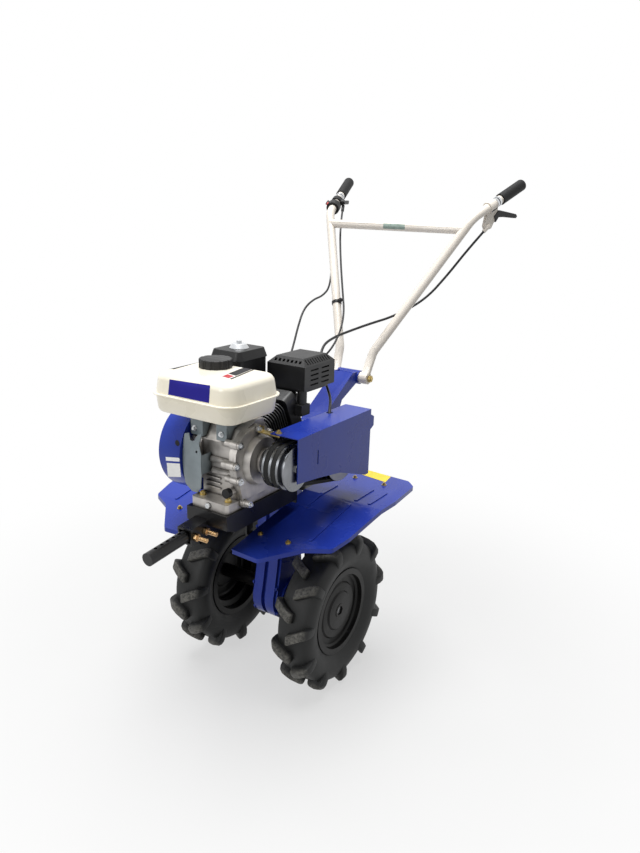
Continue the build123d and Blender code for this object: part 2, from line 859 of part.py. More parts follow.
def v_belts():
    with BuildPart() as belts:
        for i in range(2):
            middle = pulley_in + (groove_pitch - groove_width) / 2 + 2 + i * groove_pitch + groove_width / 2
            for width, low, high in ((11.0, -3.0, 0.5), (8.6, -6.5, -3.0)):
                with BuildSketch(side_plane(middle - width / 2)):
                    add(belt_loop(high))
                    add(belt_loop(low), mode=Mode.SUBTRACT)
                extrude(amount=width)
    return belts.part


finish(crankcase(), "crankcase")
finish(side_cover(), "side_cover")
finish(cylinder(), "cylinder")
finish(valve_cover(), "valve_cover")
finish(blower_housing(), "blower_housing")
finish(recoil_starter(), "recoil_starter")
finish(starter_grip(), "starter_grip")
finish(shroud(), "shroud")
finish(fuel_tank(), "fuel_tank")
finish(tank_brackets(), "tank_brackets")
finish(fuel_cap(), "fuel_cap")
finish(air_cleaner(), "air_cleaner")
finish(air_cleaner_knob(), "air_cleaner_knob")
finish(carburettor(), "carburettor")
finish(muffler_guard(), "muffler_guard")
finish(muffler(), "muffler")
finish(oil_plugs(), "oil_plugs")
finish(grooved_pulley(crank_back, crank_z, engine_pulley_r, 3, shaft_r), "engine_pulley")
finish(shaft_piece(crank_back, crank_z, case_out + 2, pulley_in + 3 * groove_pitch + 6), "crankshaft")
finish(grooved_pulley(driven_back, driven_z, driven_pulley_r, 2, shaft_r), "driven_pulley")
finish(shaft_piece(driven_back, driven_z, 8, pulley_in + 2 * groove_pitch + 6), "input_shaft")
finish(v_belts(), "v_belts")


# Sheet metal: the belt guard and the two fenders
guard_outline = ((guard_front, 640), (-149, 629), (-60, 615), (66, 572), (guard_rear, 572),
                 (guard_rear, guard_top), (guard_front, guard_top))


def belt_guard():
    """A folded sheet: an outer plate, a top plate with a bolted ear, and a folded rear edge."""
    with BuildPart() as guard:
        add(side_prism(guard_outline, guard_out - guard_wall, guard_out))
        add(side_prism(((guard_front, guard_top - guard_wall), (guard_rear, guard_top - guard_wall),
                        (guard_rear, guard_top), (guard_front, guard_top)), guard_in, guard_out))
        add(side_prism(((guard_rear - guard_wall, 572), (guard_rear, 572), (guard_rear, guard_top),
                        (guard_rear - guard_wall, guard_top)), guard_out - 24, guard_out))
        add(side_prism(((guard_rear, 690), (guard_rear + 16, 698), (guard_rear + 16, 722),
                        (guard_rear, 730)), guard_out - guard_wall, guard_out))
        with BuildSketch(side_plane(guard_out - 5)):
            with Locations((axle_y - 160, 682)):
                SlotOverall(34, 4, rotation=90)
        extrude(amount=10, mode=Mode.SUBTRACT)
        with BuildSketch(Plane.XY.offset(guard_top - 5)):
            with Locations((guard_in + 14, axle_y + guard_front + 12)):
                Circle(4.3)
            with Locations((155.3, axle_y - 13.5)):
                Circle(9)
        extrude(amount=10, mode=Mode.SUBTRACT)
    return guard.part


def guard_bracket():
    """The black plate behind the driven pulley that carries the guard's rear edge from the case."""
    with BuildPart() as bracket:
        with BuildSketch(Plane.XZ.offset(-(axle_y + guard_rear + play))):
            with BuildLine():
                Polyline((case_body_half + play, 610), (guard_out - 4, 585), (guard_out - 4, 700),
                         (case_body_half + play, 680), close=True)
            make_face()
        extrude(amount=-3)
        add(side_prism(((36, 610), (guard_rear + play + 3, 610), (guard_rear + play + 3, 680), (36, 680)),
                       case_body_half + play, case_body_half + play + 4))
    return bracket.part


def guard_strap():
    """The zinc strap from the side cover to the guard's front ear, with its bolt."""
    with BuildPart() as strap:
        with BuildSketch(Plane.XY.offset(guard_top - guard_wall - 3 - play)):
            with BuildLine():
                Polyline((case_out + 14 + play, axle_y - 240), (guard_in + 26, axle_y - 242),
                         (guard_in + 26, axle_y - 214), (case_out + 14 + play, axle_y - 224), close=True)
            make_face()
            with Locations((guard_in + 14, axle_y + guard_front + 12)):
                Circle(4.3, mode=Mode.SUBTRACT)
        extrude(amount=3)
        add(side_prism(((-240, 741.7), (-224, 741.7), (-224, 752), (-240, 758)),
                       case_out + 14 + play, case_out + 17))
    return strap.part


fender_profile = ((-288, 454), (-204, 470), (-10, 505), (20, 510), (250, 511))
fender_plan = ((fender_in, -284), (146, -288), (220, -206), (278, -178), (290, -120), (298, 17),
               (fender_out, 90), (290, 212), (262, 240), (fender_in, 252))
fender_lip = 11.0
bead_x = 214.0


def fender_band(top, bottom):
    """The fender's side profile as a band between two heights measured from its upper face."""
    return ([(back, z + top) for back, z in fender_profile]
            + [(back, z + bottom) for back, z in reversed(fender_profile)])


def fender(side):
    """A pressed sheet with a turned-down edge and raised beads along and across it."""
    outline = [(side * x, axle_y + back) for x, back in fender_plan]
    x_from, x_to = sorted((side * (fender_in - 20), side * (fender_out + 20)))
    with BuildPart() as sheet:
        add(side_prism(fender_band(0, -fender_wall), x_from, x_to))
        add(side_prism(fender_band(-fender_wall, -fender_lip), x_from, x_to))
        with BuildSketch(Plane.XY.offset(380)):
            with BuildLine():
                Polyline(*outline, close=True)
            make_face()
            fillet(vertices().filter_by(lambda v: abs(v.X) > fender_in + 50), 14)
        extrude(amount=200, mode=Mode.INTERSECT)
        with BuildPart(mode=Mode.PRIVATE) as inside:
            with BuildSketch(Plane.XY.offset(380)):
                with BuildLine():
                    Polyline(*outline, close=True)
                make_face()
                fillet(vertices().filter_by(lambda v: abs(v.X) > fender_in + 50), 14)
                offset(amount=-fender_wall, mode=Mode.REPLACE)
                with Locations((side * fender_in, axle_y)):
                    Rectangle(2 * fender_wall + 1, 700)
            extrude(amount=200)
        add((inside.part & side_prism(fender_band(-fender_wall, -fender_lip - 5), x_from, x_to)),
            mode=Mode.SUBTRACT)
        with BuildPart(mode=Mode.PRIVATE) as beads:
            with BuildSketch(Plane.XY.offset(380)):
                with Locations((side * bead_x, axle_y - 84)):
                    SlotOverall(186, 9, rotation=90)
                with Locations((side * bead_x, axle_y + 78), (side * (bead_x + 40), axle_y + 78)):
                    SlotOverall(96, 9, rotation=90)
                with Locations((side * 120, axle_y + 20)):
                    SlotOverall(150, 9, rotation=90)
            extrude(amount=200)
        add(beads.part & side_prism(fender_band(2.5, -1), x_from, x_to))
        with BuildSketch(Plane.XY.offset(380)):
            with Locations((side * (fender_in + 24), axle_y - 204), (side * 172, axle_y - 204),
                           (side * 130, axle_y + 173), (side * 221, axle_y + 173)):
                Circle(3.3)
        extrude(amount=200, mode=Mode.SUBTRACT)
    return sheet.part


def fender_bracket(side):
    """Flat bars under the fender: one hung from the engine's frame, one carried out from the case."""
    under_front = 470 - fender_wall - play
    under_rear = 510 - fender_wall - play
    with BuildPart() as bars:
        inner = fender_in - 8 if side > 0 else frame_x0 + 4
        hung_from = plate_top - frame_wall if side > 0 else rail_low
        x_from, x_to = sorted((inner, side * 182))
        add(side_prism(((-216, under_front - 7), (-192, under_front - 3), (-192, under_front),
                        (-216, under_front - 3)), x_from, x_to))
        x_from, x_to = sorted((inner, inner - side * 4))
        add(side_prism(((-216, under_front - 7), (-192, under_front - 3), (-192, hung_from - play),
                        (-216, hung_from - play)), x_from, x_to))
        x_from, x_to = sorted((side * (case_body_half + play), side * (case_body_half + play + 22)))
        add(side_prism(((20, under_rear - 4), (186, under_rear - 4), (186, under_rear), (20, under_rear)),
                       x_from, x_to))
        x_from, x_to = sorted((side * (case_body_half + play), side * (case_body_half + play + 4)))
        add(side_prism(((20, under_rear), (56, under_rear), (56, under_rear + 40), (20, under_rear + 40)),
                       x_from, x_to))
        x_from, x_to = sorted((side * (case_body_half + play), side * 232))
        add(side_prism(((160, under_rear - 4), (186, under_rear - 4), (186, under_rear),
                        (160, under_rear)), x_from, x_to))
    return bars.part


# Engine frame: a plate on two rails, bolted to the case's front, with the front bar's clamp below
frame_x0, frame_x1 = -14.0, 104.0
frame_front = -345.0
plate_top = base_z - play
rail_low = plate_top - frame_wall - rail_height


def bar_plane(distance):
    """A plane across the front bar, at a distance ahead of its clamp's front face."""
    droop = math.radians(bar_droop)
    ahead = Vector(0, -math.cos(droop), -math.sin(droop))
    return Plane(origin=Vector(*place(bar_x, sleeve_front, bar_z)) + ahead * distance,
                 x_dir=(1, 0, 0), z_dir=ahead)


def engine_frame():
    """A plate on two rails and an apron, with a rear plate that bolts to the front of the case."""
    seat = -(case_head_half + case_step + play)
    with BuildPart() as frame:
        with BuildSketch(Plane.XY.offset(plate_top - frame_wall)):
            with Locations(((frame_x0 + frame_x1) / 2, axle_y + (frame_front + seat) / 2)):
                Rectangle(frame_x1 - frame_x0, seat - frame_front)
            with Locations((engine_x, axle_y + base_front + base_length / 2)):
                with GridLocations(foot_bolts_x, foot_bolts_y, 2, 2):
                    SlotOverall(22, 9, rotation=0, mode=Mode.SUBTRACT)
        extrude(amount=frame_wall)
        for x in (frame_x0, frame_x1 - 5):
            add(side_prism(((frame_front, plate_top - frame_wall), (frame_front, rail_low + 12),
                            (frame_front + 30, rail_low), (seat, rail_low), (seat, plate_top - frame_wall)),
                           x, x + 5))
        add(side_prism(((seat - 5, plate_top), (seat - 5, 512), (seat, 512), (seat, plate_top)), -44, 104))
        add(side_prism(((frame_front, plate_top - 1), (frame_front, rail_low + 12),
                        (frame_front + 5, rail_low + 12), (frame_front + 5, plate_top - 1)),
                       frame_x0, frame_x1))
        with BuildSketch(bar_plane(20)):
            Rectangle(2 * (sleeve_half + play), 2 * (sleeve_half + play))
        extrude(amount=-sleeve_length - 40, mode=Mode.SUBTRACT)
    return frame.part


def front_clamp():
    """The square tube under the frame that holds the front bar, with two webs up to the plate."""
    rise = math.tan(math.radians(bar_droop))
    front, rear = frame_front + 8, sleeve_front + sleeve_length - 6
    heights = [bar_z + sleeve_half - 1 + (back - sleeve_front) * rise for back in (front, rear)]
    web_top = plate_top - frame_wall - play
    with BuildPart() as clamp:
        with BuildSketch(bar_plane(0)):
            Rectangle(2 * sleeve_half, 2 * sleeve_half)
            Rectangle(2 * (bar_r + play), 2 * (bar_r + play), mode=Mode.SUBTRACT)
        extrude(amount=-sleeve_length)
        for x in (bar_x - 15, bar_x + 10):
            add(side_prism([(front, heights[0]), (rear, heights[1]), (rear, web_top), (front, web_top)],
                           x, x + 5))
        with BuildSketch(side_plane(bar_x + bar_r - 2)):
            with Locations(*set_bolt_places):
                Circle(set_bolt_r + 0.2)
        extrude(amount=sleeve_half, mode=Mode.SUBTRACT)
    return clamp.part


set_bolt_places = ((axle_y - 388, 520.6), (axle_y - 356, 523.7))


def clamp_bolts():
    """The two zinc set bolts with their lock nuts."""
    with BuildPart() as bolts:
        with BuildSketch(side_plane(bar_x + bar_seat_r + play)):
            with Locations(*set_bolt_places):
                Circle(set_bolt_r)
        extrude(amount=sleeve_half + set_bolt_reach - bar_seat_r - play)
        with BuildSketch(side_plane(bar_x + sleeve_half + play)):
            with Locations(*set_bolt_places):
                RegularPolygon(9, 6)
        extrude(amount=9)
    return bolts.part


def front_bar():
    """The round bar with a closed tip and a row of pin holes, turned down where the tube holds it."""
    seat_length = sleeve_length - 10
    with BuildPart() as bar:
        with BuildSketch(bar_plane(bar_gap)):
            Circle(bar_r)
        extrude(amount=bar_reach - bar_gap)
        with BuildSketch(bar_plane(bar_gap)):
            Circle(bar_seat_r)
        extrude(amount=-seat_length - bar_gap)
        with BuildSketch(bar_plane(bar_reach - bar_wall)):
            Circle(bar_r - bar_wall)
        extrude(amount=-seat_length - bar_reach, mode=Mode.SUBTRACT)
        along = bar_plane(0)
        with BuildSketch(Plane(origin=along.origin, x_dir=along.z_dir, z_dir=along.y_dir)):
            with Locations(*[(16 + bar_hole_pitch * i, 0) for i in range(5)]):
                Circle(bar_hole_r)
        extrude(amount=2 * bar_r, both=True, mode=Mode.SUBTRACT)
    return bar.part


finish(belt_guard(), "belt_guard")
finish(guard_bracket(), "guard_bracket")
finish(guard_strap(), "guard_strap")
for side, word in ((1, "left"), (-1, "right")):
    finish(fender(side), f"fender_{word}")
    finish(fender_bracket(side), f"fender_bracket_{word}")
finish(engine_frame(), "engine_frame")
finish(front_clamp(), "front_clamp")
finish(clamp_bolts(), "clamp_bolts")
finish(front_bar(), "front_bar")


# Column and handles
column_back = case_head_half + case_step + play + 8


def column():
    """A folded channel from the case's rear up to the handles' cross tube."""
    slope = math.tan(math.radians(column_slope))
    foot_z = column_web_z - (column_web_back - column_back) * slope
    tip_y = pivot_back - 38
    tip_height = column_web_z + (tip_y - column_web_back) * slope
    web = [(column_back, foot_z), (tip_y, tip_height), (tip_y, tip_height - 5),
           (column_back, foot_z - 5)]
    flange = [(column_back, foot_z), (tip_y, tip_height), (pivot_back - 6, pivot_z + hub_r - 3),
              (pivot_back - 2, pivot_z), (pivot_back - 18, pivot_z - hub_r + 4), (250, 702), (232, 668),
              (150, 590), (column_back, 540)]
    with BuildPart() as folded:
        add(side_prism(web, -column_half, column_half))
        for x in (-column_half, column_half - column_wall):
            add(side_prism(flange, x, x + column_wall))
        add(side_prism([(column_back - 8, 540), (column_back, 540), (column_back, 676),
                        (column_back - 8, 676)], -39, 39))
        with BuildSketch(side_plane(-arm_x + arm_r + play)):
            with Locations((axle_y + pivot_back, pivot_z)):
                Circle(hub_r)
        extrude(amount=2 * (arm_x - arm_r - play))
        with BuildSketch(side_plane(-arm_x)):
            with Locations((axle_y + pivot_back, pivot_z)):
                Circle(6.05)
        extrude(amount=2 * arm_x, mode=Mode.SUBTRACT)
    return folded.part


def pivot_bolt():
    with BuildPart() as bolt:
        with BuildSketch(side_plane(-arm_x - arm_r - 12)):
            with Locations((axle_y + pivot_back, pivot_z)):
                Circle(6)
        extrude(amount=2 * (arm_x + arm_r + 12))
        for side in (-1, 1):
            with BuildSketch(side_plane(side * (arm_x + arm_r + 2))):
                with Locations((axle_y + pivot_back, pivot_z)):
                    RegularPolygon(10.5, 6)
            extrude(amount=side * 8)
    return bolt.part


# Routes of the cables, from the handles to the engine
clutch_route = ((258, 641, 1170), (226, 606, 1116), (188, 573, 1048), (146, 512, 972),
                (84, 436, 925), (56, 350, 911), (40, 268, 899), (32, 190, 889), (42, 118, 876),
                (62, 82, 832), (96, 62, 790), (130, 30, 768), (149, -2, 755), (157, -18, 732))
throttle_route = ((-236, 652, 1214), (-206, 592, 1162), (-164, 532, 1078), (-120, 478, 990),
                  (-70, 416, 908), (-44, 326, 842), (-32, 226, 808), (-29, 126, 800), (-27, 40, 802),
                  (-26, -44, 790))
stop_route = ((-256, 620, 1200), (-228, 570, 1140), (-190, 526, 1062), (-164, 476, 986),
              (-148, 410, 966), (-136, 340, 962), (-124, 274, 942), (-112, 230, 898), (-99, 190, 850),
              (-84, 146, 812),
              (-62, 72, 780), (-52, 0, 760), (-48, -66, 750))


def cable_end(route, length, radius):
    """The ferrule that holds a cable's upper end, from the cable's face back towards its lever."""
    start, following = (Vector(*place(*point)) for point in route[:2])
    away = (start - following).normalized()
    with BuildPart(mode=Mode.PRIVATE) as ferrule:
        with BuildSketch(Plane(origin=start, z_dir=away)):
            Circle(radius)
        extrude(amount=length)
    return ferrule.part


def arm_points(side):
    return [(side * arm_x, axle_y + pivot_back, pivot_z), (side * bend_x, axle_y + bend_back, bend_z),
            (side * top_x, axle_y + top_back, top_z), (side * tip_x, axle_y + tip_back, tip_z)]


def swept(points, radii, outer, inner=0.0):
    """A round bar or tube along straight runs joined by arcs."""
    with BuildPart(mode=Mode.PRIVATE) as tube:
        with BuildLine() as path:
            FilletPolyline(*points, radius=radii)
        with BuildSketch(Plane(origin=path.line @ 0, z_dir=path.line % 0)):
            Circle(outer)
            if inner:
                Circle(inner, mode=Mode.SUBTRACT)
        sweep(path=path.line)
    return tube.part


def handle_arm(side):
    """A bent tube from its flattened eye at the pivot up to the grip."""
    with BuildPart() as arm:
        add(swept(arm_points(side), [60, 80], arm_r, arm_r - arm_wall))
        with BuildSketch(side_plane(side * (arm_x - arm_r))):
            with Locations((axle_y + pivot_back, pivot_z)):
                Circle(17)
        extrude(amount=side * 2 * arm_r)
        with BuildSketch(side_plane(side * (arm_x - arm_r - 5))):
            with Locations((axle_y + pivot_back, pivot_z)):
                Circle(6.05)
        extrude(amount=side * (2 * arm_r + 10), mode=Mode.SUBTRACT)
    return arm.part


def crossbar():
    with BuildPart() as bar:
        with BuildSketch(side_plane(-joint_x)):
            with Locations((axle_y + joint_back, joint_z)):
                Circle(crossbar_r)
                Circle(crossbar_r - 2, mode=Mode.SUBTRACT)
        extrude(amount=2 * joint_x)
        for side in (-1, 1):
            add(swept(arm_points(side), [60, 80], arm_r + 0.02), mode=Mode.SUBTRACT)
    return bar.part.solids().sort_by(SortBy.VOLUME)[-1]


def tip_direction(side):
    return Vector(side * (tip_x - top_x), tip_back - top_back, tip_z - top_z).normalized()


def grip(side):
    """A moulded sleeve with a rounded end."""
    run = tip_direction(side)
    tip = Vector(*place(side * tip_x, tip_back, tip_z))
    with BuildPart() as sleeve:
        with BuildSketch(Plane(origin=tip - run * (grip_length - 6), z_dir=run)):
            Circle(grip_r)
        extrude(amount=grip_length)
        fillet(sleeve.faces().sort_by(Axis((0, 0, 0), tuple(run)))[-1].edges(), 6)
        with BuildSketch(Plane(origin=tip - run * (grip_length - 6), z_dir=run)):
            Circle(arm_r + 0.05)
        extrude(amount=grip_length - 6, mode=Mode.SUBTRACT)
    return sleeve.part


def clutch_lever():
    """The clutch bracket clamped under the left arm with its long hand lever."""
    run = tip_direction(1)
    at = Vector(*place(top_x, top_back, top_z)) + run * 85
    heading = Vector(run.X, run.Y, 0).normalized()
    under_arm = Plane(origin=place(top_x, top_back, 0), x_dir=heading, z_dir=heading.cross(Vector(0, 0, 1)))
    with BuildPart() as lever:
        with BuildSketch(Plane(origin=at - run * 13, z_dir=run)):
            Circle(arm_r + 4)
        extrude(amount=26)
        for half, points in ((5, ((62, 1228), (108, 1248), (108, 1218), (84, 1180), (60, 1174), (52, 1186))),
                             (8, ((92, 1214), (112, 1232), (140, 1229), (198, 1222), (204, 1215),
                                  (198, 1210), (140, 1213), (112, 1212), (100, 1198)))):
            with BuildSketch(under_arm):
                with BuildLine():
                    Polyline(*points, close=True)
                make_face()
            extrude(amount=half, both=True)
        with BuildSketch(Plane(origin=at - run * 60, z_dir=run)):
            Circle(arm_r + 0.05)
        extrude(amount=120, mode=Mode.SUBTRACT)
        add(cable_end(clutch_route, 26, 6))
    return lever.part


def throttle_lever():
    """The throttle's clamp and thumb lever on the right arm."""
    run = tip_direction(-1)
    at = Vector(*place(-top_x, top_back, top_z)) + run * 84
    with BuildPart() as lever:
        with BuildSketch(Plane(origin=at - run * 9, z_dir=run)):
            Circle(arm_r + 5)
            Circle(arm_r + 0.05, mode=Mode.SUBTRACT)
        extrude(amount=18)
        inward = Vector(1, 0, -0.2)
        inward = (inward - run * inward.dot(run)).normalized()
        with BuildSketch(Plane(origin=at + inward * (arm_r + 3), z_dir=inward)):
            Circle(10)
        extrude(amount=8)
        with BuildSketch(Plane(origin=at + inward * (arm_r + 10), x_dir=(0, 1, 0), z_dir=inward)):
            with Locations((24, 0)):
                SlotOverall(60, 12)
        extrude(amount=5)
        add(cable_end(throttle_route, 26, 5))
    return lever.part


def kill_switch():
    """The stop switch clamped round the right arm below the throttle."""
    run = tip_direction(-1)
    at = Vector(*place(-top_x, top_back, top_z)) + run * 44
    with BuildPart() as switch:
        with BuildSketch(Plane(origin=at - run * 12, z_dir=run)):
            Circle(arm_r + 8)
            Circle(arm_r + 0.05, mode=Mode.SUBTRACT)
        extrude(amount=24)
        with BuildSketch(Plane(origin=at, z_dir=(-0.8, -0.2, 0.5))):
            Circle(8)
        extrude(amount=arm_r + 14)
        with BuildSketch(Plane(origin=at - run * 30, z_dir=run)):
            Circle(arm_r + 0.05)
        extrude(amount=60, mode=Mode.SUBTRACT)
        add(cable_end(stop_route, 12, 4.5))
    return switch.part.solids().sort_by(SortBy.VOLUME)[-1]


finish(column(), "handlebar_column")
finish(pivot_bolt(), "pivot_bolt")
for side, word in ((1, "left"), (-1, "right")):
    finish(handle_arm(side), f"handle_arm_{word}")
    finish(grip(side), f"grip_{word}")
finish(crossbar(), "handle_crossbar")
finish(clutch_lever(), "clutch_lever")
finish(throttle_lever(), "throttle_lever")
finish(kill_switch(), "kill_switch")


# Hitch and depth stake at the case's back
def rear_hitch():
    """A welded bracket with a rectangular sleeve, bolted to the neck of the case."""
    with BuildPart() as hitch:
        seat = case_neck + case_step + play
        add(side_prism(((seat, 330), (seat + 8, 330), (seat + 8, 430), (seat, 430)), -33, 33))
        for x in (-19, 13):
            add(side_prism(((seat + 8, 340), (hitch_back, 348), (hitch_back, 412), (seat + 8, 420)),
                           x, x + 6))
        with BuildSketch(Plane.XY.offset(hitch_z - 42)):
            with Locations((0, axle_y + hitch_back)):
                Rectangle(stake_depth + 12, stake_width + 12)
                Rectangle(stake_depth + 0.4, stake_width + 0.4, mode=Mode.SUBTRACT)
        extrude(amount=84)
        with BuildSketch(side_plane(-60)):
            with Locations((axle_y + hitch_back, hitch_z)):
                Circle(6.1)
        extrude(amount=120, mode=Mode.SUBTRACT)
    return hitch.part


def depth_stake():
    """The flat stake that stands behind the wheels, with a row of height holes and a small skid."""
    with BuildPart() as stake:
        with BuildSketch(Plane.XY.offset(floor_z + 8)):
            with Locations((0, axle_y + hitch_back)):
                Rectangle(stake_depth, stake_width)
        extrude(amount=490)
        skid = ((-15, 20), (-22, 6), (-12, 0), (34, 0), (44, 10), (40, 14), (30, 8), (15, 8), (15, 20))
        add(side_prism([(hitch_back + back, floor_z + z) for back, z in skid],
                       -stake_depth / 2, stake_depth / 2))
        with BuildSketch(side_plane(-60)):
            with Locations(*[(axle_y + hitch_back, hitch_z + 30 * i) for i in range(-2, 4)]):
                Circle(6.1)
        extrude(amount=120, mode=Mode.SUBTRACT)
    return stake.part


def hitch_pin():
    with BuildPart() as pin:
        with BuildSketch(side_plane(-34)):
            with Locations((axle_y + hitch_back, hitch_z)):
                Circle(6)
        extrude(amount=66)
        with BuildSketch(side_plane(-34)):
            with Locations((axle_y + hitch_back, hitch_z)):
                Circle(10)
        extrude(amount=-5)
    return pin.part


finish(rear_hitch(), "rear_hitch")
finish(depth_stake(), "depth_stake")
finish(hitch_pin(), "hitch_pin")


# Cables from the handles to the engine
def cable(name, route, diameter):
    """A tube along a route, with each arc as large as its two runs allow."""
    points = [Vector(*place(*p)) for p in route]
    radii = []
    for before, here, after in zip(points, points[1:], points[2:]):
        turn = math.radians((here - before).get_angle(after - here))
        shorter = min((here - before).length, (after - here).length)
        radii.append(0.45 * shorter / math.tan(turn / 2))
    print(name, "radii", [round(r) for r in radii])
    finish(swept(points, radii, diameter / 2), name)


cable("clutch_cable", clutch_route, 7.0)
cable("throttle_cable", throttle_route, 6.0)
cable("stop_cable", stop_route, 6.0)


print("nodes", len(made))
box = Compound(children=[Compound(p.solids()) for p in made.values()]).bounding_box()
print("box", box.min, box.max)
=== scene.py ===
# %% [markdown]
# # A walking power tiller
# This lesson dresses a finished CAD model of a two-wheel walking tiller. The solids give every size.
# Here they get real finishes and rounded edges. Tyres and cables are built again with more form, and
# small things are added that the solids leave out: plated screws, rings, a clip and blank plates.

import json
import math

import bmesh
import bpy
from mathutils import Matrix, Vector
from mathutils.bvhtree import BVHTree


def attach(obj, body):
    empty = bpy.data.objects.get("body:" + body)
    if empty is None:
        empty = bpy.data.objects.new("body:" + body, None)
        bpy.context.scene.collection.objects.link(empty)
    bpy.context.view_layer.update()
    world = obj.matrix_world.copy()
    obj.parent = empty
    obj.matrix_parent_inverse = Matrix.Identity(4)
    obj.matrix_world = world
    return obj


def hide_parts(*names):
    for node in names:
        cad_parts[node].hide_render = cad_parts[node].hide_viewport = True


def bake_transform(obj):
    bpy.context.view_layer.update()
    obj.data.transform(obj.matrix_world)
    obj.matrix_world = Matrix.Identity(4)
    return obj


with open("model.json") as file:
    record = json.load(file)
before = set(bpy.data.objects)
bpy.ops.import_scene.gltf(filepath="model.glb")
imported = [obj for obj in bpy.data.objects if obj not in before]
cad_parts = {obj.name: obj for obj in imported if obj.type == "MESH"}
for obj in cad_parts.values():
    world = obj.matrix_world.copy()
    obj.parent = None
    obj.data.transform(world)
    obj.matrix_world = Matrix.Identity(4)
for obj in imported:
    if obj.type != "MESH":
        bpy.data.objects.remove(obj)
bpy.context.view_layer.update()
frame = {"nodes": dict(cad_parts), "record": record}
bodies = frame["record"]["behaviour"]["bodies"]
body_of_node = {node: body for body, nodes in bodies.items() for node in nodes}

# %% [markdown]
# ## Places
# The maker measures a tiller from its axle, so this lesson does too. A place is given as millimetres to
# the left of the middle, behind the axle and above the drawing's base line, and becomes metres here.
# Left and right are the machine's own, as for someone who walks behind it.

# %% From the maker's millimetres to the scene's metres
MM = 0.001
AXLE_Y = -146.7  # the axle, along the scene's Y
AXLE_Z = 203.0  # the axle, above the drawing's base line
FLOOR_DROP = 9.0  # how far the floor lies under that base line
SIDES = ((1, "left"), (-1, "right"))


def place(x, back, z):
    """The scene's metres for millimetres to the left, behind the axle and above the base line."""
    return Vector((x, AXLE_Y + back, z + FLOOR_DROP)) * MM


print("axle above the floor m", round(place(0, 0, AXLE_Z).z, 3))

# %% [markdown]
# ## The camera
# The picture was taken from in front of the machine's left side, 1.25 m up and looking down by 17
# degrees. The eye, the turn and the focal length were found by matching known points of the machine. A
# small roll copies the slight tilt of the picture.

# %% Set up the camera
eye = place(1088.8, -1512.9, 1240.0)
turn, pitch, roll = (math.radians(a) for a in (32.63, 16.78, 1.78))
focal_px, picture_height_px, sensor_mm = 744.75, 853, 36.0
ahead = Vector((-math.sin(turn) * math.cos(pitch), math.cos(turn) * math.cos(pitch), -math.sin(pitch)))
level = Vector((math.cos(turn), math.sin(turn), 0))
upward = level.cross(ahead)
right = level * math.cos(roll) + upward * math.sin(roll)
above = upward * math.cos(roll) - level * math.sin(roll)
lens = bpy.data.cameras.new("camera")
lens.sensor_width = sensor_mm
lens.lens = focal_px / picture_height_px * sensor_mm
camera = bpy.data.objects.new("camera", lens)
camera.matrix_world = Matrix.Translation(eye) @ Matrix((right, above, -ahead)).transposed().to_4x4()
bpy.context.collection.objects.link(camera)
bpy.context.scene.camera = camera
print("lens mm", round(lens.lens, 2))

# %% [markdown]
# ## The control cables
# Each cable is a steel wire in a plastic sleeve, stiff enough to hold wide bends. One smooth NURBS line
# follows the same points as the solid and is turned into a tube. It runs between the handles, which
# tilt, and the engine, which doesn't.

# %% Lay the cables
cable_routes = {
    "clutch_cable": (7.0, (
        (258, 641, 1170), (226, 606, 1116), (188, 573, 1048), (146, 512, 972), (84, 436, 925),
        (56, 350, 911), (40, 268, 899), (32, 190, 889), (42, 118, 876), (62, 82, 832), (96, 62, 790),
        (130, 30, 768), (149, -2, 755), (157, -18, 732))),
    "throttle_cable": (6.0, (
        (-236, 652, 1214), (-206, 592, 1162), (-164, 532, 1078), (-120, 478, 990), (-70, 416, 908),
        (-44, 326, 842), (-32, 226, 808), (-29, 126, 800), (-27, 40, 802), (-26, -44, 790))),
    "stop_cable": (6.0, (
        (-256, 620, 1200), (-228, 570, 1140), (-190, 526, 1062), (-164, 476, 986), (-148, 410, 966),
        (-136, 340, 962), (-124, 274, 942), (-112, 230, 898), (-99, 190, 850), (-84, 146, 812),
        (-62, 72, 780), (-52, 0, 760), (-48, -66, 750))),
}


def spline_object(name, points, radius):
    """A NURBS line of order 3 through its first and last point, thick where a radius is given."""
    curve = bpy.data.curves.new(name, "CURVE")
    curve.dimensions = "3D"
    curve.bevel_depth = radius
    curve.bevel_resolution = 4
    curve.resolution_u = 10
    curve.use_fill_caps = True
    spline = curve.splines.new("NURBS")
    spline.points.add(len(points) - 1)
    for control, point in zip(spline.points, points):
        control.co = (*point, 1.0)
    spline.order_u = 3
    spline.use_endpoint_u = True
    made = bpy.data.objects.new(name, curve)
    bpy.context.collection.objects.link(made)
    return made


def to_mesh_object(source, name):
    """The evaluated shape of an object as a plain mesh object that sits at the origin."""
    graph = bpy.context.evaluated_depsgraph_get()
    mesh = bpy.data.meshes.new_from_object(source.evaluated_get(graph))
    mesh.transform(source.matrix_world)
    made = bpy.data.objects.new(name, mesh)
    bpy.context.collection.objects.link(made)
    bpy.data.objects.remove(source)
    return made


cable_pieces = {}
for name, (diameter, route) in cable_routes.items():
    points = [place(*point) for point in route]
    line = to_mesh_object(spline_object(name + "_line", points, 0.0), name + "_line")
    bpy.data.objects.remove(line)
    tube = to_mesh_object(spline_object(name + "_tube", points, diameter / 2 * MM), name + "_sleeve")
    for face in tube.data.polygons:
        face.use_smooth = True
    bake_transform(tube)
    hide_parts(name)
    cable_pieces[name] = tube

# %% [markdown]
# ## Two small helpers for finishes
# Colours are written as the sRGB hex values that a paint chart gives, and one function makes them
# linear. Another adds a node with its settings and its links in one line.

# %% Colour and node helpers


def linear(text):
    """A linear colour from six hex digits."""
    parts = [int(text[i:i + 2], 16) / 255 for i in (0, 2, 4)]
    return tuple(c / 12.92 if c <= 0.04045 else ((c + 0.055) / 1.055) ** 2.4 for c in parts) + (1.0,)


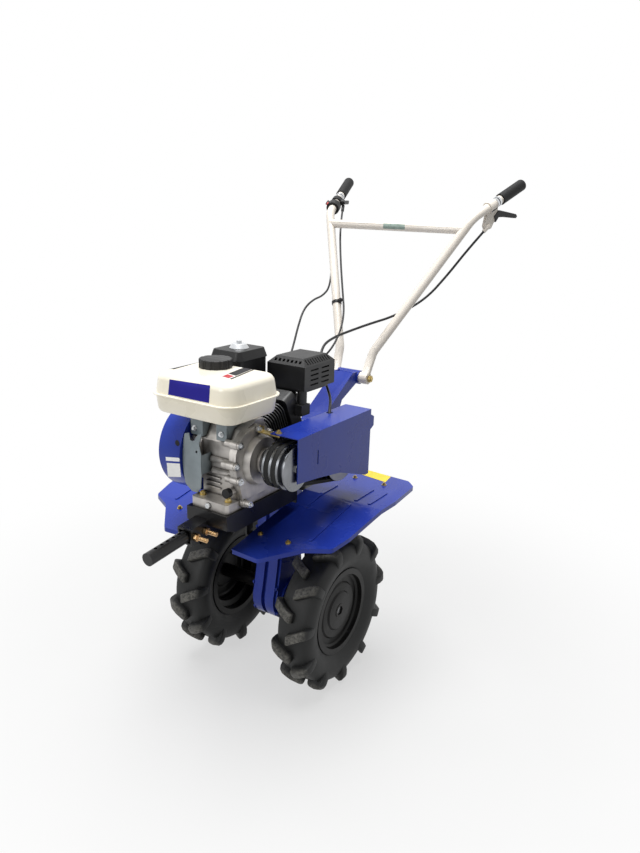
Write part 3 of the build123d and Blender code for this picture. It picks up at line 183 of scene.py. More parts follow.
def add_node(tree, kind, inputs=None, **settings):
    """One node with its settings. An input that is a socket is linked, and any other is a value."""
    made = tree.nodes.new(kind)
    for name, value in settings.items():
        setattr(made, name, value)
    for key, value in (inputs or {}).items():
        if isinstance(value, bpy.types.NodeSocket):
            tree.links.new(value, made.inputs[key])
        else:
            made.inputs[key].default_value = value
    return made


print("mid grey as light", round(linear("808080")[0], 3))

# %% [markdown]
# ## One recipe for a finish
# A real surface is never one flat colour. Each finish here has a base colour that drifts a little over
# a stated distance, a gloss that drifts with it, and a fine relief whose grain is a real size. What a
# finish has beyond that, such as turning rings or worn lugs, is added by its own function. In a colour
# mix, sockets 6 and 7 are the two colours and output 2 is their blend.

# %% The shared recipe


def blank_material(name):
    """An empty material, its node tree and the socket that gives places on the object."""
    material = bpy.data.materials.new(name)
    material.use_nodes = True
    tree = material.node_tree
    tree.nodes.clear()
    return material, tree, add_node(tree, "ShaderNodeTexCoord").outputs["Object"]


def surface(name, shade, tint, rough, drift_mm, grain_mm, grain_depth_mm, metallic=0.0, coat=0.0,
            rough_spread=0.05, specular=0.5, extra=None):
    """A finish from two close colours, a roughness that drifts, and a grain of a real size."""
    material, tree, spot = blank_material(name)
    clouds = add_node(tree, "ShaderNodeTexNoise", {"Vector": spot, "Scale": 1000 / drift_mm, "Detail": 4.0})
    fade = add_node(tree, "ShaderNodeMapRange", {"Value": clouds.outputs["Fac"], "From Min": 0.35,
                                                 "From Max": 0.65})
    colour = add_node(tree, "ShaderNodeMix", {0: fade.outputs["Result"], 6: linear(shade), 7: linear(tint)},
                      data_type="RGBA").outputs[2]
    gloss = add_node(tree, "ShaderNodeMapRange", {
        "Value": clouds.outputs["Fac"], "From Min": 0.3, "From Max": 0.7,
        "To Min": rough - rough_spread, "To Max": rough + rough_spread}).outputs["Result"]
    grain = add_node(tree, "ShaderNodeTexNoise", {"Vector": spot, "Scale": 1000 / grain_mm, "Detail": 2.0})
    height = grain.outputs["Fac"]
    if extra:
        colour, height = extra(tree, spot, colour, height)
    relief = add_node(tree, "ShaderNodeBump", {"Height": height, "Strength": 0.8,
                                               "Distance": grain_depth_mm * MM})
    shader = add_node(tree, "ShaderNodeBsdfPrincipled", {
        "Base Color": colour, "Roughness": gloss, "Normal": relief.outputs["Normal"],
        "Metallic": metallic, "Specular IOR Level": specular, "Coat Weight": coat,
        "Coat Roughness": 0.06})
    add_node(tree, "ShaderNodeOutputMaterial", {"Surface": shader.outputs["BSDF"]})
    return material


# %% [markdown]
# ## Patterns that some finishes add
# A turned pulley shows fine rings round its shaft. A tyre shows moulded rings on its sidewall and pale,
# dusty lug faces. Some finishes get painted shade in their corners, darkest where other surfaces crowd
# round. A rubber grip shows diamond knurling. Each pattern measures the distance it needs from the
# piece's own coordinates.

# %% Turning rings


def radius_from(tree, spot, back, z):
    """The distance from a shaft that runs from side to side."""
    centred = add_node(tree, "ShaderNodeMapping", {
        "Vector": spot, "Location": -place(0, back, z), "Scale": (0.0, 1.0, 1.0)})
    centred.vector_type = "POINT"
    return add_node(tree, "ShaderNodeVectorMath", {0: centred.outputs["Vector"]},
                    operation="LENGTH").outputs["Value"]


def ringed(back, z, pitch_mm, share):
    """Fine rings round a shaft, mixed into the relief."""
    def pattern(tree, spot, colour, height):
        radius = radius_from(tree, spot, back, z)
        waves = add_node(tree, "ShaderNodeMath", {0: radius, 1: 2 * math.pi * 1000 / pitch_mm},
                         operation="MULTIPLY").outputs[0]
        rings = add_node(tree, "ShaderNodeMath", {0: waves}, operation="SINE").outputs[0]
        mixed = add_node(tree, "ShaderNodeMix", {0: share, 2: height, 3: rings}).outputs[0]
        return colour, mixed
    return pattern


# %% Tyre wear
dust_starts, dust_full = 0.196, 0.207  # metres from the axle
rings_fade, rings_end, tyre_ring_pitch = 0.150, 0.158, 0.0045


def tyre_wear(tree, spot, colour, height):
    """Sidewall rings in the relief, and grey dust on the outer faces of the lugs."""
    radius = radius_from(tree, spot, 0, AXLE_Z)
    dusty = add_node(tree, "ShaderNodeMapRange", {"Value": radius, "From Min": dust_starts,
                                                  "From Max": dust_full, "To Max": 0.8}).outputs["Result"]
    speckle = add_node(tree, "ShaderNodeTexNoise", {"Vector": spot, "Scale": 130.0, "Detail": 6.0,
                                                    "Roughness": 0.7})
    worn = add_node(tree, "ShaderNodeMapRange", {"Value": speckle.outputs["Fac"], "From Min": 0.33,
                                                 "From Max": 0.6}).outputs["Result"]
    patchy = add_node(tree, "ShaderNodeMath", {0: dusty, 1: worn}, operation="MULTIPLY").outputs[0]
    tinted = add_node(tree, "ShaderNodeMix", {0: patchy, 6: colour, 7: linear("6E6C66")},
                      data_type="RGBA").outputs[2]
    waves = add_node(tree, "ShaderNodeMath", {0: radius, 1: 2 * math.pi / tyre_ring_pitch},
                     operation="MULTIPLY")
    rings = add_node(tree, "ShaderNodeMath", {0: waves.outputs[0]}, operation="SINE").outputs[0]
    low = add_node(tree, "ShaderNodeMapRange", {"Value": radius, "From Min": rings_fade,
                                                "From Max": rings_end, "To Min": 0.45,
                                                "To Max": 0.0}).outputs["Result"]
    mixed = add_node(tree, "ShaderNodeMix", {0: low, 2: height, 3: rings}).outputs[0]
    return tinted, mixed


# %% Painted corner shade and knurling


def corner_shade(reach_mm, shade_colour):
    """Painted shade in the corners: the colour darkens towards a shade colour as far out as the given
    reach.
    """
    def pattern(tree, spot, colour, height):
        # Painted shade: ambient occlusion mixes the shade colour into the finish where surfaces crowd
        # round.
        corner = add_node(tree, "ShaderNodeAmbientOcclusion", {"Distance": reach_mm * MM}, samples=8)
        unshaded = add_node(tree, "ShaderNodeMapRange", {"Value": corner.outputs["AO"], "From Min": 0.35,
                                                      "From Max": 0.95}).outputs["Result"]
        return add_node(tree, "ShaderNodeMix", {0: unshaded, 6: linear(shade_colour), 7: colour},
                        data_type="RGBA").outputs[2], height
    return pattern


def knurled(tree, spot, colour, height):
    """Crossed waves, as moulded into a rubber grip. A scale of 100 puts their crests 3.1 mm apart."""
    crossed = []
    for slope in (0.8, -0.8):
        slanted = add_node(tree, "ShaderNodeMapping", {"Vector": spot, "Rotation": (slope, 0.3, slope)})
        crossed.append(add_node(tree, "ShaderNodeTexWave", {"Vector": slanted.outputs["Vector"],
                                                            "Scale": 100.0}).outputs["Fac"])
    both = add_node(tree, "ShaderNodeMath", {0: crossed[0], 1: crossed[1]}, operation="MAXIMUM")
    return colour, both.outputs[0]


# %% [markdown]
# ## The finishes of this machine
# Each finish is named for what the real one is. Its drift and its grain are given in millimetres, and
# its shine starts from what such a surface usually has. Most black pieces keep a low specular level,
# because a white room would otherwise turn them grey.

# %% Enamels
# Stoved sheet metal looks glossy over a faint orange peel. The tank is cream, the handles a duller white.
blue_enamel = surface("royal_blue_stove_enamel", "1A2D86", "213794", 0.28, 140, 3.0, 0.006, coat=0.12,
                      specular=0.2)
cream_enamel = surface("cream_stove_enamel", "E6DFCC", "EFE9DA", 0.30, 120, 8.0, 0.008, coat=0.2)
handle_enamel = surface("warm_white_handle_enamel", "D6CEC3", "DFD8CE", 0.40, 160, 9.0, 0.0, coat=0.1)
# Black paint hides its form and shows only a soft sheen. The shroud's blue grey has painted corner shade.
black_enamel = surface("black_enamel_on_steel", "0A0A0B", "111113", 0.32, 60, 2.0, 0.012, coat=0.1,
                       specular=0.3)
heat_black = surface("heat_proof_black_paint", "111112", "19191A", 0.46, 50, 1.2, 0.025, specular=0.4)
grey_enamel = surface("blue_grey_enamel", "707B80", "828D92", 0.34, 60, 2.0, 0.010, coat=0.25,
                      extra=corner_shade(14, "3A3E3D"))

# %% Castings and plated metal
# Raw cast aluminium is a dull grey metal with a sandy grain, with painted shade in its corners.
die_cast = surface("raw_die_cast_aluminium", "ABA7A3", "C2BEB9", 0.42, 26, 0.9, 0.05, metallic=0.7,
                   rough_spread=0.09, extra=corner_shade(11, "3B3835"))
# The black casting has painted shade in its corners too.
black_casting = surface("black_painted_casting", "121212", "1C1C1D", 0.44, 30, 1.0, 0.05,
                        extra=corner_shade(8, "050505"))
# Zinc plate is bright and drifts in colour from screw to screw. Chrome is the sharpest mirror here.
yellow_zinc = surface("yellow_zinc_plate", "A08A52", "C4B37E", 0.32, 7, 0.7, 0.01, metallic=1.0)
copper_zinc = surface("coppery_zinc_plate", "A98356", "D0AE82", 0.28, 7, 0.7, 0.01, metallic=1.0)
bright_zinc = surface("bright_zinc_plate", "B9BBBD", "CFD1D3", 0.28, 9, 0.7, 0.01, metallic=1.0)
chrome_band = surface("chrome_plated_band", "C9CBCE", "DADCDE", 0.14, 12, 1.0, 0.004, metallic=1.0)
rolled_steel = surface("bright_rolled_steel", "8E8F91", "A2A3A5", 0.33, 18, 0.8, 0.012, metallic=1.0)

# %% Plastics, rubber and printed films
# Moulded nylon has a low, even shine. The cleaner's dome is pressed metal, pale and lacquered.
nylon_black = surface("moulded_black_nylon", "101011", "181819", 0.42, 40, 0.8, 0.03, specular=0.28)
pressed_dome = surface("bright_pressed_dome", "B4B7BA", "C8CACC", 0.26, 30, 1.2, 0.008, metallic=0.35,
                       coat=0.4)
# The rims are enamelled, and their shine is kept low.
wheel_black = surface("black_enamel_on_rim", "080808", "100F0E", 0.36, 50, 1.6, 0.02, specular=0.18)
# Rubber is dull and a little rough, with a grain that shows where light grazes it.
tyre_rubber = surface("moulded_tyre_rubber", "0C0D0D", "161717", 0.56, 35, 0.9, 0.12, specular=0.35,
                      extra=tyre_wear)
sleeve_plastic = surface("cable_sleeve_plastic", "101011", "18181A", 0.38, 30, 0.8, 0.01, specular=0.3)
belt_rubber = surface("fabric_faced_belt_rubber", "121212", "1B1B1B", 0.70, 12, 0.6, 0.06, specular=0.3)
grip_rubber = surface("knurled_grip_rubber", "0D0D0E", "151516", 0.58, 20, 0.8, 0.25, specular=0.22,
                      extra=knurled)
# Printed film is smooth, thin and even, duller than the enamel under it.
print_blue = surface("blue_printed_plate", "1C1779", "201B84", 0.42, 60, 2.0, 0.002, specular=0.15)
print_white = surface("white_label_film", "E8E8E6", "F0F0EE", 0.38, 20, 1.5, 0.006)
print_yellow = surface("yellow_label_film", "D8BE1C", "E2CA30", 0.38, 16, 1.5, 0.006)
print_black = surface("black_stripe_film", "151417", "1C1B1F", 0.45, 20, 2.0, 0.002, specular=0.15)
print_red = surface("red_label_film", "A8242C", "B42E34", 0.38, 12, 1.5, 0.006)
print_green = surface("grey_green_label_film", "7F9188", "92A299", 0.40, 14, 1.5, 0.006)
# The stop switch's cap is glossy moulded plastic.
switch_red = surface("red_switch_cap", "B01E1E", "C42A26", 0.35, 10, 0.8, 0.01, coat=0.3)

# %% Turned pulleys
# A lathe leaves fine rings round the shaft. They are drawn coarser than real, so that they show.
front_pulley_iron = surface("turned_front_pulley", "6F7174", "84868A", 0.28, 60, 0.8, 0.012, metallic=1.0,
                            extra=ringed(-233, 673, 2.4, 0.3))
rear_pulley_iron = surface("turned_rear_pulley", "77787A", "8D8E90", 0.38, 30, 0.8, 0.03, metallic=1.0,
                           extra=ringed(-6, 648, 0.9, 0.5))
print("finishes", len(bpy.data.materials))

# %% [markdown]
# ## Rounding the solids' edges
# No pressed, cast or moulded edge is knife sharp, and a rounded one catches a thin line of light. A copy
# of the solid's mesh is welded, its edges are bevelled by a real amount, and the copy stands in for the
# solid. The bevel only takes material away, so sizes hold. Where it would spoil thin facets, as on the
# tubes and the front pulley, its width is 0 and the copy is only welded.

# %% Dress one solid
smooth_limit = math.radians(32)  # an edge that turns more is a crease
weld_gap, flat_limit = 0.02 * MM, math.radians(0.3)  # closer corners and flatter faces are made one


def dressed(node, edge_mm, material):
    """A welded copy of a solid with rounded edges, which stands for it."""
    source = frame["nodes"][node]
    work = bmesh.new()
    work.from_mesh(source.data)
    work.transform(source.matrix_world)
    bmesh.ops.remove_doubles(work, verts=work.verts, dist=weld_gap)
    if edge_mm:
        bmesh.ops.dissolve_limit(work, angle_limit=flat_limit, verts=work.verts, edges=work.edges)
    mesh = bpy.data.meshes.new(node + "_dressed")
    work.to_mesh(mesh)
    work.free()
    piece = bpy.data.objects.new(node + "_dressed", mesh)
    bpy.context.collection.objects.link(piece)
    mesh.shade_smooth()
    mesh.set_sharp_from_angle(angle=smooth_limit)
    if edge_mm:
        rounding = piece.modifiers.new("rounded edges", "BEVEL")
        rounding.width = edge_mm * MM
        rounding.segments = 2
        rounding.limit_method = "ANGLE"
        rounding.angle_limit = smooth_limit
        rounding.use_clamp_overlap = True
        rounding.harden_normals = True
    mesh.materials.append(material)
    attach(piece, body_of_node[node])
    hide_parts(node)
    return piece


# %% Dress all solids, each with its finish and the width of its rounded edges
dress_list = (
    (blue_enamel, 1.2, ("case_half_left", "case_half_right")),
    (blue_enamel, 0.0, ("case_spacer",)),
    (blue_enamel, 0.6, ("handlebar_column", "belt_guard", "blower_housing", "recoil_starter")),
    (blue_enamel, 0.7, ("fender_left", "fender_right")),
    (black_enamel, 0.8, ("engine_frame", "front_clamp", "rear_hitch", "depth_stake", "front_bar")),
    (black_enamel, 0.5, ("fender_bracket_left", "fender_bracket_right", "guard_bracket")),
    (die_cast, 1.6, ("crankcase", "side_cover")),
    (die_cast, 0.8, ("carburettor",)),
    (black_casting, 0.5, ("cylinder",)),
    (black_casting, 1.0, ("valve_cover",)),
    (grey_enamel, 0.4, ("shroud", "tank_brackets")),
    (heat_black, 0.8, ("muffler_guard", "muffler")),
    (handle_enamel, 0.0, ("handle_arm_left", "handle_arm_right", "handle_crossbar")),
    (cream_enamel, 0.6, ("fuel_tank",)),
    (nylon_black, 1.2, ("air_cleaner", "clutch_lever", "throttle_lever", "kill_switch")),
    (nylon_black, 0.8, ("fuel_cap", "oil_plugs", "starter_grip")),
    (pressed_dome, 0.8, ("air_cleaner_knob",)),
    (copper_zinc, 0.4, ("clamp_bolts",)),
    (yellow_zinc, 0.4, ("guard_strap", "pivot_bolt")),
    (bright_zinc, 0.4, ("hitch_pin",)),
    (rolled_steel, 0.4, ("axle_shaft", "crankshaft", "input_shaft")),
    (wheel_black, 0.5, ("rim_left", "rim_right", "wheel_hub_left", "wheel_hub_right", "hub_pins")),
    (front_pulley_iron, 0.0, ("engine_pulley",)),
    (rear_pulley_iron, 0.4, ("driven_pulley",)),
    (belt_rubber, 0.3, ("v_belts",)),
    (grip_rubber, 0.6, ("grip_left", "grip_right")),
)
dressed_pieces = {}
for material, edge_mm, nodes in dress_list:
    for node in nodes:
        dressed_pieces[node] = dressed(node, edge_mm, material)
for tube in cable_pieces.values():
    tube.data.materials.append(sleeve_plastic)
print("dressed", len(dressed_pieces))

# %% [markdown]
# ## Tyres
# A lug tyre is a round carcass with stout bars that run slanting from the middle out over the shoulder,
# left and right in turn. The carcass is one profile carried round the axle. A bar is modelled once for
# each side, from stations along its length, and repeated round the axle by Geometry Nodes.

# %% The carcass, as one profile carried round
carcass_steps = 96
carcass_profile = ((-32.6, 104.9), (-32.6, 117), (-37, 124), (-44, 134), (-49, 147), (-50, 160),
                   (-47.5, 172), (-42, 182), (-34, 188), (-18, 190), (0, 190.5), (18, 190), (34, 188),
                   (42, 182), (47.5, 172), (50, 160), (49, 147), (44, 134), (37, 124), (32.6, 117),
                   (32.6, 104.9), (24, 105), (36, 128), (41, 146), (41, 160), (34, 176), (20, 181),
                   (0, 182), (-20, 181), (-34, 176), (-41, 160), (-41, 146), (-36, 128), (-24, 105))


def mesh_object(name, work, material, closed=True):
    """An object from a finished bmesh. The faces of a closed one are turned outwards."""
    if closed:
        bmesh.ops.recalc_face_normals(work, faces=work.faces)
    mesh = bpy.data.meshes.new(name)
    work.to_mesh(mesh)
    work.free()
    made = bpy.data.objects.new(name, mesh)
    bpy.context.collection.objects.link(made)
    if material:
        mesh.materials.append(material)
    mesh.shade_smooth()
    mesh.set_sharp_from_angle(angle=smooth_limit)
    return made


def turned(name, profile, middle, axis, steps, material):
    """A closed profile of millimetres along and away from an axis, carried round it."""
    along = Vector(axis).normalized()
    aside = along.orthogonal().normalized()
    across = along.cross(aside)
    work = bmesh.new()
    rings = []
    for step in range(steps):
        angle = 2 * math.pi * step / steps
        out = aside * math.cos(angle) + across * math.sin(angle)
        rings.append([work.verts.new(middle + (along * x + out * r) * MM) for x, r in profile])
    for ring, following in zip(rings, rings[1:] + rings[:1]):
        for i in range(len(profile)):
            j = (i + 1) % len(profile)
            work.faces.new((ring[i], ring[j], following[j], following[i]))
    return mesh_object(name, work, material)


# %% One lug
lug_slant = math.tan(math.radians(30))
lug_stations = ((-5, 203, -5, 184), (-2, 209.5, -2, 184), (6, 211.4, 6, 184), (26, 210.8, 25, 184),
                (41, 207.5, 37, 181), (50, 201, 42, 178), (54, 191, 44, 173), (54.5, 176, 45.5, 167),
                (52, 163, 47, 158), (48.5, 153, 47, 152))
lug_top_half, lug_foot_half = 12.0, 15.5
lug_bend_x = 46  # past this the bar runs straight down the sidewall
lug_arc_radius, lug_rounding = 200, 2.6


def lug_form(name, half):
    """One bar at the top of a wheel whose centre is the origin, from stations of outer and inner edges."""
    work = bmesh.new()
    sections = []
    for out_x, out_r, in_x, in_r in lug_stations:
        shift = min(max(out_x, 0), lug_bend_x) * lug_slant
        section = []
        for x, r, half_width in ((out_x, out_r, lug_top_half), (in_x, in_r, lug_foot_half)):
            for edge in (-half_width, half_width):
                angle = (shift + edge) / lug_arc_radius
                section.append(work.verts.new(Vector((half * x, r * math.sin(angle),
                                                      r * math.cos(angle))) * MM))
        sections.append((section[0], section[1], section[3], section[2]))
    for here, following in zip(sections, sections[1:]):
        for i in range(4):
            j = (i + 1) % 4
            work.faces.new((here[i], here[j], following[j], following[i]))
    work.faces.new(sections[0])
    work.faces.new(sections[-1])
    bmesh.ops.recalc_face_normals(work, faces=work.faces)
    hard = [e for e in work.edges if e.is_manifold and e.calc_face_angle() > smooth_limit]
    bmesh.ops.bevel(work, geom=hard, offset=lug_rounding * MM, segments=2, profile=0.5, affect="EDGES")
    return mesh_object(name, work, None)


print("carcass points", len(carcass_profile), "lug stations", len(lug_stations))

# %% [markdown]
# The tree below sets copies of one object evenly round the axle. Its inputs are the object, how many
# copies there are, the first copy's turn, the middle of the wheel and the finish. It ends in real faces,
# because an instance is lost when a model is exported.

# %% The tree that repeats a form round a shaft


def new_tree(name, sockets):
    """A tree that takes and gives a shape, with the named inputs."""
    tree = bpy.data.node_groups.new(name, "GeometryNodeTree")
    tree.interface.new_socket("Geometry", in_out="INPUT", socket_type="NodeSocketGeometry")
    for label, kind in sockets:
        tree.interface.new_socket(label, in_out="INPUT", socket_type=kind)
    tree.interface.new_socket("Geometry", in_out="OUTPUT", socket_type="NodeSocketGeometry")
    return tree, add_node(tree, "NodeGroupInput"), add_node(tree, "NodeGroupOutput")


def set_copies(tree, result, spots, form, turn, finish):
    """Ends a tree: a copy of the form on every spot, as real faces with their finish."""
    copies = add_node(tree, "GeometryNodeInstanceOnPoints", {"Points": spots, "Instance": form,
                                                             "Rotation": turn})
    real = add_node(tree, "GeometryNodeRealizeInstances", {"Geometry": copies.outputs[0]})
    finished = add_node(tree, "GeometryNodeSetMaterial", {"Geometry": real.outputs[0], "Material": finish})
    tree.links.new(finished.outputs[0], result.inputs[0])


def ring_tree():
    """Copies of a form, set evenly round a shaft that runs from side to side."""
    tree, given, result = new_tree("forms round a shaft", (
        ("Form", "NodeSocketObject"), ("Count", "NodeSocketInt"), ("First turn", "NodeSocketFloat"),
        ("Middle", "NodeSocketVector"), ("Finish", "NodeSocketMaterial")))
    spots = add_node(tree, "GeometryNodePoints", {"Count": given.outputs["Count"],
                                                  "Position": given.outputs["Middle"]})
    step = add_node(tree, "ShaderNodeMath", {0: 2 * math.pi, 1: given.outputs["Count"]}, operation="DIVIDE")
    number = add_node(tree, "GeometryNodeInputIndex")
    angle = add_node(tree, "ShaderNodeMath", {0: number.outputs[0], 1: step.outputs[0],
                                              2: given.outputs["First turn"]}, operation="MULTIPLY_ADD")
    spin = add_node(tree, "ShaderNodeCombineXYZ", {"X": angle.outputs[0]})
    form = add_node(tree, "GeometryNodeObjectInfo", {"Object": given.outputs["Form"]})
    set_copies(tree, result, spots.outputs[0], form.outputs["Geometry"], spin.outputs[0],
               given.outputs["Finish"])
    return tree


def grow(name, tree, values, base=None):
    """Runs a tree on an object, with its inputs given by name, and keeps the plain mesh."""
    host = base or bpy.data.objects.new(name + "_host", bpy.data.meshes.new(name + "_host"))
    if not base:
        bpy.context.collection.objects.link(host)
    modifier = host.modifiers.new("grow", "NODES")
    modifier.node_group = tree
    for item in tree.interface.items_tree:
        if item.in_out == "INPUT" and item.name in values:
            modifier[item.identifier] = values[item.name]
    made = to_mesh_object(host, name)
    print(name, "faces", len(made.data.polygons))
    return made


# %% Both tyres
tyre_track, lugs_a_side, lug_phase = 345.0, 11, math.radians(-9.4)
around = ring_tree()
for side, word in SIDES:
    centre_x = side * tyre_track / 2
    carcass = turned(f"tyre_{word}_carcass", carcass_profile, place(centre_x, 0, AXLE_Z), (1, 0, 0),
                     carcass_steps, tyre_rubber)
    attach(carcass, "wheel_set")
    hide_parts(f"tyre_{word}")
    for half in (-1, 1):
        lug = lug_form(f"lug_{word}_{half + 1}", half)
        first = lug_phase + (0.0 if half > 0 else math.pi / lugs_a_side)
        bars = grow(f"tyre_{word}_lugs_{'outer' if half * side > 0 else 'inner'}", around, {
            "Form": lug, "Count": lugs_a_side, "First turn": first, "Middle": place(centre_x, 0, AXLE_Z),
            "Finish": tyre_rubber})
        bpy.data.objects.remove(lug)
        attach(bars, "wheel_set")

# %% [markdown]
# ## Bolt heads
# The small screws are hexagons on washers. The tree takes marks, which are points that know which way
# they face, and puts one bolt head on each. A mark's place comes from the CAD's own holes and bosses,
# and a ray moves it on to the metal there.

# %% The tree for bolt heads
washer_thick, stud_radius, stud_height = 1.6 * MM, 3.2 * MM, 4 * MM
sunk = 0.2 * MM  # each form sinks this far into what it stands on, so that no gap shows


def bolt_tree():
    """A hexagon with its washer and the end of its stud, on each mark."""
    tree, given, result = new_tree("bolt heads on marks", (
        ("Head radius", "NodeSocketFloat"), ("Head height", "NodeSocketFloat"),
        ("Washer radius", "NodeSocketFloat"), ("Finish", "NodeSocketMaterial")))
    faces = add_node(tree, "GeometryNodeInputNamedAttribute", {"Name": "facing"}, data_type="FLOAT_VECTOR")
    aim = add_node(tree, "FunctionNodeAlignRotationToVector", {"Vector": faces.outputs[0]}, axis="Z")
    head = add_node(tree, "GeometryNodeMeshCylinder", {
        "Vertices": 6, "Radius": given.outputs["Head radius"], "Depth": given.outputs["Head height"]})
    washer = add_node(tree, "GeometryNodeMeshCylinder", {
        "Vertices": 24, "Radius": given.outputs["Washer radius"], "Depth": washer_thick})
    stud = add_node(tree, "GeometryNodeMeshCylinder", {
        "Vertices": 14, "Radius": stud_radius, "Depth": stud_height})
    head_seat = washer_thick - 2 * sunk
    half_up, top = (add_node(tree, "ShaderNodeMath", {0: given.outputs["Head height"], 1: share,
                                                      2: head_seat}, operation="MULTIPLY_ADD").outputs[0]
                    for share in (0.5, 1.0))
    joined = add_node(tree, "GeometryNodeJoinGeometry")
    for form, rise in ((washer, washer_thick / 2 - sunk), (head, half_up), (stud, top)):
        lift = add_node(tree, "ShaderNodeCombineXYZ", {"Z": rise})
        moved = add_node(tree, "GeometryNodeTransform", {"Geometry": form.outputs["Mesh"],
                                                         "Translation": lift.outputs[0]})
        tree.links.new(moved.outputs[0], joined.inputs[0])
    set_copies(tree, result, given.outputs["Geometry"], joined.outputs[0], aim.outputs[0],
               given.outputs["Finish"])
    return tree


bolt_heads = bolt_tree()
print("trees", [tree.name for tree in bpy.data.node_groups])

# %% Bolts on marks
seat_reach = 8 * MM  # a ray looks for metal this far above and below its mark


def skin_of(nodes):
    """A search tree over the faces of CAD nodes, for rays to hit."""
    spots, faces = [], []
    for node in nodes:
        source = frame["nodes"][node]
        first = len(spots)
        spots += [source.matrix_world @ vertex.co for vertex in source.data.vertices]
        faces += [[first + i for i in polygon.vertices] for polygon in source.data.polygons]
    return BVHTree.FromPolygons(spots, faces)


def bolts(name, marks, nodes, radius_mm, height_mm, washer_mm, finish):
    """Marks are places with the direction that their bolt faces. A ray seats each one on the solids, and a
    mark over a hole, where the ray finds no metal, stays where it is."""
    skin, seated, over_holes = skin_of(nodes), [], 0
    for spot, direction in marks:
        outward = Vector(direction).normalized()
        hit = skin.ray_cast(spot + outward * seat_reach, -outward, 2 * seat_reach)[0]
        over_holes += hit is None
        seated.append((hit or spot, outward))
    shifts = [(a - b[0]).length / MM for (a, _), b in zip(seated, marks)]
    print(name, "over holes", over_holes, "moved mm at most", round(max(shifts), 1))
    mesh = bpy.data.meshes.new(name + "_marks")
    mesh.from_pydata([spot for spot, _ in seated], [], [])
    facing = mesh.attributes.new("facing", "FLOAT_VECTOR", "POINT")
    for item, (_, outward) in zip(facing.data, seated):
        item.vector = outward
    host = bpy.data.objects.new(name + "_marks", mesh)
    bpy.context.collection.objects.link(host)
    made = grow(name, bolt_heads, {"Head radius": radius_mm * MM, "Head height": height_mm * MM,
                                   "Washer radius": washer_mm * MM, "Finish": finish}, host)
    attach(made, "chassis")


# %% Bolts of the fenders and the engine
up, left_side, front = (0, 0, 1), (1, 0, 0), (0, -1, 0)
slope_up = (0, -0.19, 0.98)  # square to the sloping front of a fender
fender_marks = ((90, -204, 470.3, slope_up), (172, -204, 470.3, slope_up), (130, 173, 510.8, up),
                (221, 173, 510.9, up))
for side, word in SIDES:
    bolts(f"fender_{word}_bolts",
          [(place(side * x, back, z), facing) for x, back, z, facing in fender_marks],
          (f"fender_{word}",), 5.0, 4, 7.0, yellow_zinc)
foot_x, foot_half_gap, foot_back, foot_top = 45.0, 37.75, -314.0, 589.0
bolts("engine_foot_nuts",
      [(place(foot_x + side * foot_half_gap, foot_back, foot_top), up) for side in (-1, 1)],
      ("crankcase",), 6.8, 6.5, 9.0, yellow_zinc)
bolts("tank_foot_bolts", [(place(55, -303, 739), front), (place(-24, -303, 739), front)],
      ("tank_brackets",), 5.0, 4, 7.0, bright_zinc)
bolts("guard_ear_bolt", [(place(158, -229, 744), up)], ("belt_guard", "guard_strap"), 5.2, 4.5, 8.0,
      yellow_zinc)
cover_marks = ((-306, 724), (-318, 678), (-306, 640), (-240, 748), (-195, 727), (-164, 655), (-172, 606))
bolts("side_cover_bolts", [(place(112, back, z), left_side) for back, z in cover_marks],
      ("side_cover",), 5.5, 4, 8.0, bright_zinc)
bolts("cover_foot_bolt", [(place(122, -285, 582), left_side)], ("side_cover",), 5.0, 4, 7.5, bright_zinc)

# %% Bolts of the chain case
case_marks = ((-58, 590), (-58, 640), (58, 590), (58, 640), (-50, 480), (50, 480), (-50, 400), (50, 400),
              (-50, 330), (50, 330), (-62, 240), (62, 240), (-58, 165), (58, 165), (0, 134))
case_half_width = 34
for side, word in SIDES:
    bolts(f"case_{word}_bolts",
          [(place(side * case_half_width, back, z), (side, 0, 0)) for back, z in case_marks],
          (f"case_half_{word}",), 5.0, 4, 7.0, blue_enamel)

# %% [markdown]
# ## Plates and labels
# The machine wears a blue plate, stripes and a few labels, all blank here. Each is a thin film that has
# to lie on a curved surface, so a flat patch in front of the solid is laid down on it by rays. The rays
# run away from the camera unless the patch says otherwise, so the film lands where the picture has it.
# The tank's two stripes are named as the picture shows them: the right one is on the machine's left.

# %% Lay one film
film_rise, film_reach = 80 * MM, 250 * MM  # how far before the patch a ray starts, and how far it goes


def film(name, nodes, corners, material, body="chassis", outward=None, cells=(10, 6), disc=False,
         lift_mm=0.4):
    """Corners run round the patch. Each grid point goes along its ray to just above the solid, or to the
    nearest place on it where the ray passes by. A disc is the same grid drawn in to a round outline."""
    skin = skin_of(nodes)
    first, second, third, fourth = (place(*corner) for corner in corners)
    centre = (first + second + third + fourth) / 4
    aim = -Vector(outward).normalized() if outward else (centre - eye).normalized()
    work = bmesh.new()
    rows, missed = [], 0
    for j in range(cells[1] + 1):
        row = []
        for i in range(cells[0] + 1):
            u, v = i / cells[0], j / cells[1]
            if disc:
                a, b = 2 * u - 1, 2 * v - 1
                u, v = (a * math.sqrt(1 - b * b / 2) + 1) / 2, (b * math.sqrt(1 - a * a / 2) + 1) / 2
            spot = first.lerp(second, u).lerp(fourth.lerp(third, u), v)
            hit = skin.ray_cast(spot - aim * film_rise, aim, film_reach)
            if hit[0] is None:
                missed += 1
                hit = skin.find_nearest(spot)
            row.append(work.verts.new(hit[0] + hit[1] * lift_mm * MM))
        rows.append(row)
    for row, following in zip(rows, rows[1:]):
        for i in range(cells[0]):
            work.faces.new((row[i], row[i + 1], following[i + 1], following[i]))
    work.normal_update()
    if sum((face.normal for face in work.faces), Vector()).dot(aim) > 0:
        bmesh.ops.reverse_faces(work, faces=work.faces)
    made = mesh_object(name, work, material, closed=False)
    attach(made, body)
    print(name, "points off the solid", missed)
    return made


